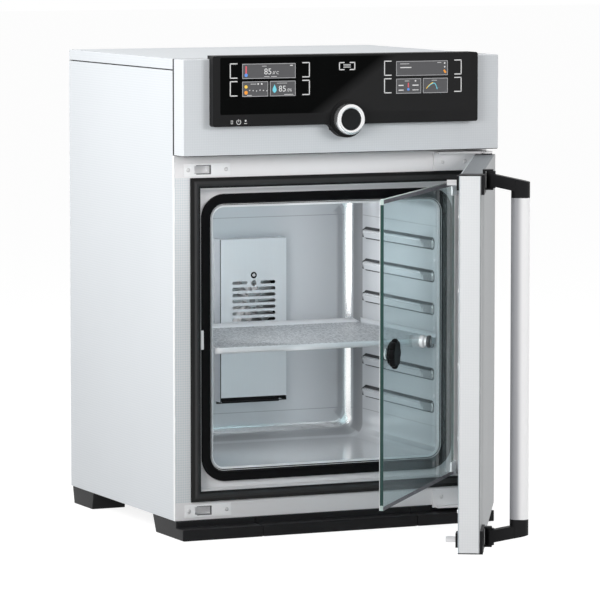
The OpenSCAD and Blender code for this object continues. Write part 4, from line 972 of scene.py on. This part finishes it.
rise = FLANGE - TRAY_T
side_x, side_rise = folded(-half_x, half_x, field[0], rise, rise)
end_y, end_rise = folded(-half_y, half_y - TRAY_T, field[1], -LIP, rise)
blank = np.stack(np.broadcast_arrays(tray_mid[0] + side_x[None], tray_mid[1] + end_y[:, None],
                                     floor_top + side_rise[None] + end_rise[:, None]), -1)
NOTCH_COLUMNS, FLAT_CELL = [5, -6], 6
blank[-1, NOTCH_COLUMNS, 2] = floor_top + 0.5
quads = grid_faces(*blank.shape[:2])
bent_y, bent_x = (np.abs(np.arange(n) - FLAT_CELL) > 1 for n in quads.shape[:2])
keep = ~(bent_x[None] & bent_y[:, None])
keep[FLAT_CELL, FLAT_CELL] = False
print("blank faces", keep.sum())

# %% Punched floor
square = np.array([[1, 0], [1, 1], [0, 1], [-1, 1], [-1, 0], [-1, -1], [0, -1], [1, -1]]) * PITCH / 2
eighth = np.arange(8) * np.pi / 4
cell = np.concatenate([square, HOLE * np.stack([np.cos(eighth), np.sin(eighth)], 1)])
places = [(np.arange(n) - (n - 1) / 2) * PITCH for n in count]
holes = tray_mid + np.stack(np.meshgrid(*places), -1).reshape(-1, 1, 2) + cell
holes = np.concatenate([holes, np.full((*holes.shape[:2], 1), floor_top)], -1)
ring = np.arange(8)
cell_quads = np.stack([ring, (ring + 1) % 8, 8 + (ring + 1) % 8, 8 + ring], 1)
first = blank[..., 0].size + 16 * np.arange(len(holes))[:, None, None]
tray_quads = np.concatenate([quads[keep], (cell_quads[None] + first).reshape(-1, 4)])
tray_points = np.concatenate([blank.reshape(-1, 3), holes.reshape(-1, 3)]) * MM
tray = piece("perforated_tray", tray_points, tray_quads, "shelf_tray", "shelf_steel", "chamber_steel",
             closed=False)
thicken(tray, TRAY_T)
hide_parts("shelf")
print("tray holes", len(holes))

# %% [markdown]
# ## Door seals
# Both seals are extruded rubber, bent round the opening. An extrusion is a profile carried along
# a path, so one bulb-shaped profile for the outer and one for the inner seal is swept round a
# rectangle. The outer one is mitred at its corners and the inner one has round corners. The
# rolled rim of the chamber is swept in the same way.

# %% Seals and rim
SEAL_W, INNER_R = 17.0, 23.5


def around(profile, node, radius):
    """Sweeps a seal's profile round the opening, inside the CAD node's outline."""
    low, high = box_mm(node)
    return sweep(profile, high[0] - SEAL_W, (high[2] - low[2]) / 2 - SEAL_W, radius, (0, middle_z))


outer_profile = [(0.3, 0.0), (0.0, -2.2), (0.6, -3.6), (2.2, -4.0), (4.2, -4.2), (5.6, -5.4), (7.0, -6.3),
                 (8.4, -6.3), (9.6, -5.4), (10.6, -4.4), (12.4, -4.4), (15.6, -4.2), (16.7, -3.4),
                 (17.0, -1.6), (17.0, 0.0)]
# All of the seal but its bulb is painted dark: painted shade, with the bulb left lighter as a painted
# highlight.
BULB, CORNERS = range(4, 10), 4
groove = np.repeat(np.isin(np.arange(len(outer_profile)), BULB, invert=True), CORNERS)
seal = loop_piece("outer_door_seal", around(outer_profile, "outer_seal", 0), "cabinet", "seal_rubber",
                  "seal_rubber", marks={"groove": groove})
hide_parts("outer_seal")
inner_profile = [(0.5, 26.0), (-0.6, 29.0), (-1.9, 28.8), (-0.4, 25.2), (1.2, 21.9), (2.6, 19.0), (3.6, 17.9),
                 (5.0, 17.6), (10.0, 17.55), (15.4, 17.6), (16.6, 18.0), (17.0, 19.2), (17.0, 24.2)]
seal = loop_piece("inner_door_seal", around(inner_profile, "inner_seal", INNER_R), "cabinet", "deep_rubber",
                  "seal_rubber")
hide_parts("inner_seal")
rim_profile = [(-0.2, rim_y - 2.4), (0.3, rim_y + 5.0), (-3.2, rim_y + 1.8), (-3.2, rim_y - 1.6)]
loop_piece("rolled_rim", sweep(rim_profile, half_w, half_h, LONG_R, (0, middle_z)), "cabinet", "bright_rim",
           "chamber_steel")
print("rim at y", round(rim_y, 1))

# %% [markdown]
# ## Glass door fittings
# The knob is a flat black wheel with eight lobes. A lathe makes a round disc; letting the radius
# swell and shrink with the angle gives the lobes. The bumper is a turned spool of chromed steel.
# The cut edge of the pane is much darker than its face, because light runs along the sheet, so a
# thin band with its own finish goes round it, and grey strips line its top and bottom.

# %% Knob
KNOB_X, KNOB_R, LOBES, STEPS = -192.0, 24.0, 8, 96
knob_profile = [(0.0, -2.2), (0.62, -2.2), (0.82, -2.5), (0.93, -1.9), (0.99, -0.6), (1.0, 1.8), (1.0, 3.6),
                (0.98, 5.4), (0.90, 6.7), (0.82, 7.2), (0.80, 9.4), (0.74, 10.6), (0.46, 10.6), (0.46, 4.0),
                (0.125, 4.0), (0.125, 20.0), (0.0, 20.0)]
wheel = lathe([(KNOB_R * r, y) for r, y in knob_profile], (0.0, 0.0), STEPS)
turn = np.linspace(0.0, 2 * np.pi, STEPS, endpoint=False)
lobe = 1.0 - 0.15 * (1 - np.abs(np.cos(LOBES * turn / 2)) ** 0.8)
reach_out = np.hypot(wheel[..., 0], wheel[..., 2]) / (KNOB_R * MM)
swell = 1.0 + (lobe[None] - 1.0) * np.clip((reach_out - 0.5) / 0.4, 0, 1)
wheel = wheel * np.stack([swell, np.ones_like(swell), swell], -1) + np.array([KNOB_X, 0.0, middle_z]) * MM
knob = loop_piece("lobed_knob", on_glass_door(wheel), "glass_latch", "knob_plastic", "black_plastic",
                  ring=False)
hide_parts("glass_knob")
print("knob lobes", LOBES)

# %% Bumper
BUMPER_X, BUMPER_STEPS = -0.25, 48
bumper_profile = [(0.0, -6.3), (6.5, -6.3), (9.4, -5.9), (10.2, -5.0), (10.2, -1.6), (9.4, -0.7), (8.3, -0.1),
                  (7.9, 1.6), (8.3, 3.4), (9.4, 4.0), (10.2, 4.9), (10.2, 9.6), (9.6, 11.2), (0.0, 11.2)]
# The bumper's front rings are painted dark: a painted reflection on the chrome.
FRONT_RINGS = range(1, 6)
groove = np.repeat(np.isin(np.arange(len(bumper_profile)), FRONT_RINGS), BUMPER_STEPS)
bumper = loop_piece("spool_bumper", on_glass_door(lathe(bumper_profile, (BUMPER_X, middle_z), BUMPER_STEPS)),
                    "glass_door", "bumper_chrome", "chrome", ring=False, marks={"groove": groove})
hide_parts("glass_bumper")
print("bumper rings", len(bumper_profile))

# %% Pane edge
PANE_X, BORDER_Y, BORDER = (-227.0, 219.0), 11.08, 6.2
pane_half_w, pane_half_h = (PANE_X[1] - PANE_X[0]) / 2, (pane_high.z - pane_low.z) / 2 / MM
edge_profile = [(-0.5, 11.1), (0.06, 11.1), (0.12, 11.4), (0.12, 17.0), (0.06, 17.3), (-0.5, 17.3)]
# pane_arris is a thin bright band along the inner arris: a painted highlight.
arris_profile = [(-0.4, 17.4), (0.14, 17.4), (0.18, 17.2), (0.18, 16.7), (0.1, 16.6)]
for name, profile, finish in (("pane_edge", edge_profile, "edge_glass"),
                              ("pane_arris", arris_profile, "bright_rim")):
    points = sweep(profile, pane_half_w, pane_half_h, 1.0, (sum(PANE_X) / 2, middle_z), 3)
    loop_piece(name, on_glass_door(points), "glass_door", finish, "pane", smooth=False)
for name, way in (("pane_top_border", 1), ("pane_low_border", -1)):
    z_pair = middle_z + way * np.array([pane_half_h, pane_half_h - BORDER])
    strip = on_glass_door(patch(PANE_X, BORDER_Y, z_pair))
    piece(name, strip, grid_faces(2, 2), "glass_door", "border_grey", "pane", closed=False, smooth=False)
print("pane edge", round(2 * pane_half_w), "x", round(2 * pane_half_h))

# %% [markdown]
# ## Dial
# The dial is a chromed ring with a flat face, chamfered inside and outside, round a dark key that
# is slightly dished. Both are turned parts, so both are lathed profiles.

# %% Dial ring and key
(_, front, dial_bottom), (_, rear, dial_top) = box_mm("dial_ring")
dial_z = (dial_bottom + dial_top) / 2
ring_profile = [(17.2, rear), (17.2, front + 2.4), (17.9, front + 1.0), (18.8, front + 0.25), (20.0, front),
                (21.8, front), (23.2, front + 0.5), (24.4, front + 1.8), (25.0, front + 3.6),
                (25.0, rear - 1.0), (24.6, rear)]
chrome_ring = loop_piece("dial_chrome", lathe(ring_profile, (0.0, dial_z), STEPS), "dial", "dial_bright",
                         "chrome")
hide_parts("dial_ring")
front, rear = (corner[1] for corner in box_mm("confirm_key"))
key_profile = [(0.0, front + 0.9), (6.0, front + 0.75), (11.0, front + 0.4), (14.6, front),
               (15.8, front + 0.15), (16.5, front + 0.9), (16.7, front + 2.0), (16.7, rear), (0.0, rear)]
key = loop_piece("confirm_cap", lathe(key_profile, (0.0, dial_z), STEPS), "confirm_button", "key_plastic",
                 "panel_gloss", ring=False)
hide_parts("confirm_key")
print("dial at", round(dial_z, 1))

# %% [markdown]
# ## Signs on the control glass
# Behind the black glass two small screens are lit, each between four key brackets. Each sign is
# a flat patch just in front of the glass: strokes, discs and bars from numpy, and digits from
# Blender's own font, made a mesh. The finish glows a little and carries a fine screen raster.


# %% Lit inks
def lit_ink(name, color, glow, raster=0.12):
    """A lit patch of a screen: fine rows and columns of picture points darken it a little."""
    ink = Finish(name, color, metallic=0.0, rough=0.18)
    dots = ink.span(ink.times(*ink.waves("xz", 0.5)), 1.0 - raster, 1.0)
    for socket in ("Base Color", "Emission Color"):
        ink.tone(dots, tuple(c * (1 - raster) for c in color), color, socket)
    ink.shade({"Emission Strength": glow})


lit_ink("ink_white", (0.62, 0.62, 0.62), 0.22)
lit_ink("tile_grey", (0.070, 0.070, 0.074), 0.25, 0.25)
lit_ink("tile_edge", (0.36, 0.36, 0.37), 0.25)
lit_ink("ink_red", (0.60, 0.09, 0.12), 0.3)
lit_ink("ink_blue", (0.10, 0.25, 0.65), 0.3)
lit_ink("ink_cyan", (0.14, 0.52, 0.62), 0.3)
lit_ink("ink_amber", (0.75, 0.28, 0.03), 0.3)
lit_ink("ink_yellow", (0.80, 0.50, 0.07), 0.3)
print("finishes", len(finishes))


# %% Flat shapes
def bar(x0, z0, x1, z1):
    """A rectangle as one quad."""
    return np.array([[[x0, z0], [x1, z0], [x1, z1], [x0, z1]]], float)


def frame_bars(x0, z0, x1, z1, t):
    """The outline of a rectangle as four bars of width t."""
    return np.concatenate([bar(x0, z0, x1, z0 + t), bar(x0, z1 - t, x1, z1), bar(x0, z0 + t, x0 + t, z1 - t),
                           bar(x1 - t, z0 + t, x1, z1 - t)])


def ribbon(right, left):
    """Quads between two lines of points that run side by side."""
    return np.stack([right[:-1], right[1:], left[1:], left[:-1]], 1)


def band(path, width):
    """A stroke of constant width: each point of the path moves to both sides along the path's normal."""
    path = np.array(path, float)
    along = np.gradient(path, axis=0)
    side = np.stack([-along[:, 1], along[:, 0]], 1) / np.linalg.norm(along, axis=1)[:, None] * width / 2
    return ribbon(path - side, path + side)


def ring_band(x, z, r, width, start=0.0, end=360.0):
    """A stroke along part of a circle."""
    a = np.radians(np.linspace(start, end, 25))
    return band(np.stack([x + r * np.cos(a), z + r * np.sin(a)], 1), width)


def disc(x, z, r):
    """A filled circle: a stroke along the circle of half the radius, as wide as the radius."""
    return ring_band(x, z, r / 2, r)


print("full circle", len(disc(0.0, 0.0, 1.0)), "quads")


# %% Sign helper
def sign(name, shapes, ink, lift):
    """Puts flat quads of (x, z) in millimetres on the control glass, lift millimetres in front of it."""
    flat = np.concatenate(shapes)
    y = np.full((*flat.shape[:2], 1), glass_front - lift)
    points = np.concatenate([flat[..., :1], y, flat[..., 1:]], -1) * MM
    piece(name, points, np.arange(flat.shape[0] * 4), "cabinet", ink, "display", closed=False, smooth=False)


glass_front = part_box("control_glass")[0].y / MM
print("glass front", round(glass_front, 2))

# %% Key brackets and menu sign
SCREEN_X = (-136.0, 136.0)
OUTER, INNER, HALF_LINE = 69.2, 57.5, 0.8
MENU_LOW, MENU_HIGH, MENU_X, MENU_IN, MENU_T = 754.0, 767.0, 14.4, 4.6, 1.7
brackets = []
for x_mid in SCREEN_X:
    for side in (-1, 1):
        for z0, z1 in ((716.0, 738.8), (744.4, 767.2)):
            outer, inner = x_mid + side * OUTER, x_mid + side * INNER
            run = [(inner, z1), (outer, z1), (outer, z0), (inner, z0)]
            for a, b in zip(run[:-1], run[1:]):
                brackets.append(bar(*(np.minimum(a, b) - HALF_LINE), *(np.maximum(a, b) + HALF_LINE)))
for side in (-1, 1):
    (x0, x1), (u0, u1) = (sorted((side * MENU_X, side * end)) for end in (MENU_IN, MENU_X - MENU_T))
    brackets += [bar(x0, MENU_HIGH - MENU_T, x1, MENU_HIGH), bar(x0, MENU_LOW, x1, MENU_LOW + MENU_T),
                 bar(u0, MENU_LOW, u1, MENU_HIGH)]
brackets += [bar(-6.5, z - 0.45, 6.5, z + 0.45) for z in (758.6, 760.75, 762.9)]
sign("key_brackets", brackets, "ink_white", 0.04)
print("bracket bars", len(brackets))

# %% Screen tiles
tiles, edges = [], []
for x_mid in SCREEN_X:
    x0, x1 = x_mid - 48.3, x_mid + 44.8
    for tile in ((x0, 743.0, x1, 766.8), (x0, 714.3, x_mid - 3.4, 738.4), (x_mid, 714.3, x1, 738.6)):
        tiles.append(bar(*tile))
        edges.append(frame_bars(*tile, 0.9))
sign("screen_tiles", tiles, "tile_grey", 0.03)
sign("screen_tile_edges", edges, "tile_edge", 0.05)
print("tiles", len(tiles))

# %% Screen marks
white = [bar(-146, 745.6, -137, 746.3), bar(-134, 745.6, -124, 746.3), bar(-101, 762.6, -96, 764.0),
         bar(-150, 762.4, -142, 763.0), bar(-170, 734.0, -160, 734.7), bar(-124, 734.8, -106, 735.4),
         bar(-111, 716.4, -95, 717.2), bar(-176, 716.0, -168, 716.8), bar(95, 762.0, 111, 762.8),
         bar(95, 755.6, 115, 757.2), bar(162, 763.2, 169, 763.9), disc(175.2, 762.6, 1.4),
         disc(175.2, 756.6, 1.4), bar(103, 734.2, 111, 734.9), disc(122.5, 734.6, 1.4),
         bar(92, 726.6, 101, 728.4), bar(117, 726.6, 128, 728.4), bar(92, 719.0, 101, 720.6),
         bar(117, 719.2, 128, 720.4), bar(152, 734.6, 161, 735.3), disc(-156.6, 734.4, 1.4),
         disc(-150.4, 734.4, 1.5)]
white += [disc(-171.5 + 6.0 * i, 724.5 - 0.6 * (i % 3), 0.9) for i in range(6)]
sign("screen_marks", white, "ink_white", 0.07)
sign("red_marks", [bar(-178.8, 751.0, -176.4, 763.0), bar(108.6, 724.0, 110.6, 731.5)], "ink_red", 0.07)
sign("blue_marks", [disc(-177.6, 748.6, 2.8), disc(109.6, 721.0, 2.2)], "ink_blue", 0.08)
slash = band([(173.6, 751.6), (175.4, 749.2), (177.2, 746.8)], 3.0)
sign("amber_marks", [disc(-177.8, 720.8, 3.0), slash], "ink_amber", 0.07)
sign("yellow_mark", [disc(-177.8, 730.0, 2.7)], "ink_yellow", 0.07)
print("screen marks", len(white))

# %% Drop and graph
fall = np.linspace(0.0, 1.0, 15)
spine = np.stack([-128.0 + 0 * fall, 733.6 - 14.0 * fall], 1)
bulge = np.stack([3.5 * np.sin(np.pi * fall**1.6) ** 0.8, 0 * fall], 1)
sign("drop_mark", [ribbon(spine - bulge, spine + bulge)], "ink_cyan", 0.07)
run, PEAK = np.linspace(0.0, 1.0, 25), 0.72
climb, descent = np.sin(np.pi / (2 * PEAK) * run) ** 0.9, np.cos(np.pi / (2 - 2 * PEAK) * (run - PEAK))
arch = np.stack([142.0 + 20.0 * run, 720.3 + 9.9 * np.where(run < PEAK, climb, descent)], 1)
sign("graph_rise", [band(arch[:16] + [0.0, 1.2], 1.2)], "ink_yellow", 0.08)
sign("graph_fall", [band(arch[4:], 1.3)], "ink_cyan", 0.08)
print("graph points", len(arch))


# %% Digits
CAP_HEIGHT = 0.69


def digits(name, words, x, z, height):
    """Blender's own font made a mesh, then scaled to height millimetres and set at (x, z)."""
    curve = bpy.data.curves.new(name, "FONT")
    curve.body = words
    draft = placed(name + "_draft", curve)
    flat = bpy.data.meshes.new_from_object(draft.evaluated_get(bpy.context.evaluated_depsgraph_get()))
    bpy.data.objects.remove(draft)
    flat.name = name
    spot = np.empty(len(flat.vertices) * 3)
    flat.vertices.foreach_get("co", spot)
    u, v = spot.reshape(-1, 3)[:, :2].T * height / CAP_HEIGHT
    set_at = np.stack([x + u, np.full(u.size, glass_front - 0.08), z + v], 1) * MM
    flat.vertices.foreach_set("co", set_at.ravel())
    mounted(name, flat, "cabinet", "ink_white")


digits("digits_temperature", "85", -146.4, 749.6, 9.3)
digits("unit_temperature", ".0°C", -132.4, 749.6, 4.6)
digits("digits_humidity", "85", -121.0, 721.6, 9.3)
digits("unit_humidity", ".0%", -107.0, 721.6, 4.6)
print("digits set")

# %% Signs on the bezel
bezel_signs = [frame_bars(-204.2, 671.2, -200.8, 676.8, 0.7), ring_band(-190.6, 674.0, 3.6, 1.0, 120, 420),
               bar(-191.1, 674.2, -190.1, 678.4), disc(-178.6, 676.0, 1.5), bar(-181.0, 671.2, -176.2, 672.2)]
sign("bezel_signs", bezel_signs, "ink_white", 0.05)
print("bezel signs", len(bezel_signs))

# %% [markdown]
# ## Screw of the fan cover
# One small dome-headed screw holds the fan cover. Its head is a small grid, rings by angle, whose
# height is a dome with a cross pressed into it.


# %% Screw head
def screw_head(middle, radius, rise):
    """A head that faces the front: a dome, lower by the depth of the cross where a point is closer
    than half a millimetre to one of its two arms."""
    rings = np.array([0.0, 0.18, 0.42, 0.62, 0.85, 0.96, 1.0])[:, None] * radius
    turn = np.linspace(0.0, 2 * np.pi, 24, endpoint=False)[None]
    u, v = rings * np.cos(turn), rings * np.sin(turn)
    dome = rise * np.sqrt(np.clip(1.0 - (rings / radius) ** 2 * 0.92, 0, 1)) + 0 * turn
    dome[-1] = 0.0
    cross = (np.minimum(np.abs(u), np.abs(v)) < 0.5) & (rings < 0.7 * radius)
    dome = np.where(cross, dome - 0.7, dome)
    return (np.stack([u, -dome, v], -1) + middle) * MM


head = screw_head([screw_mid[0] / MM, cover_low.y / MM - 0.1, screw_mid[2] / MM], 3.2, 2.0)
cover_screw = loop_piece("cover_screw", head, "cabinet", "screw_steel", "screws", ring=False, closed=False)
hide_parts("fan_cover_screw")
print("screw head", head.shape[:2])
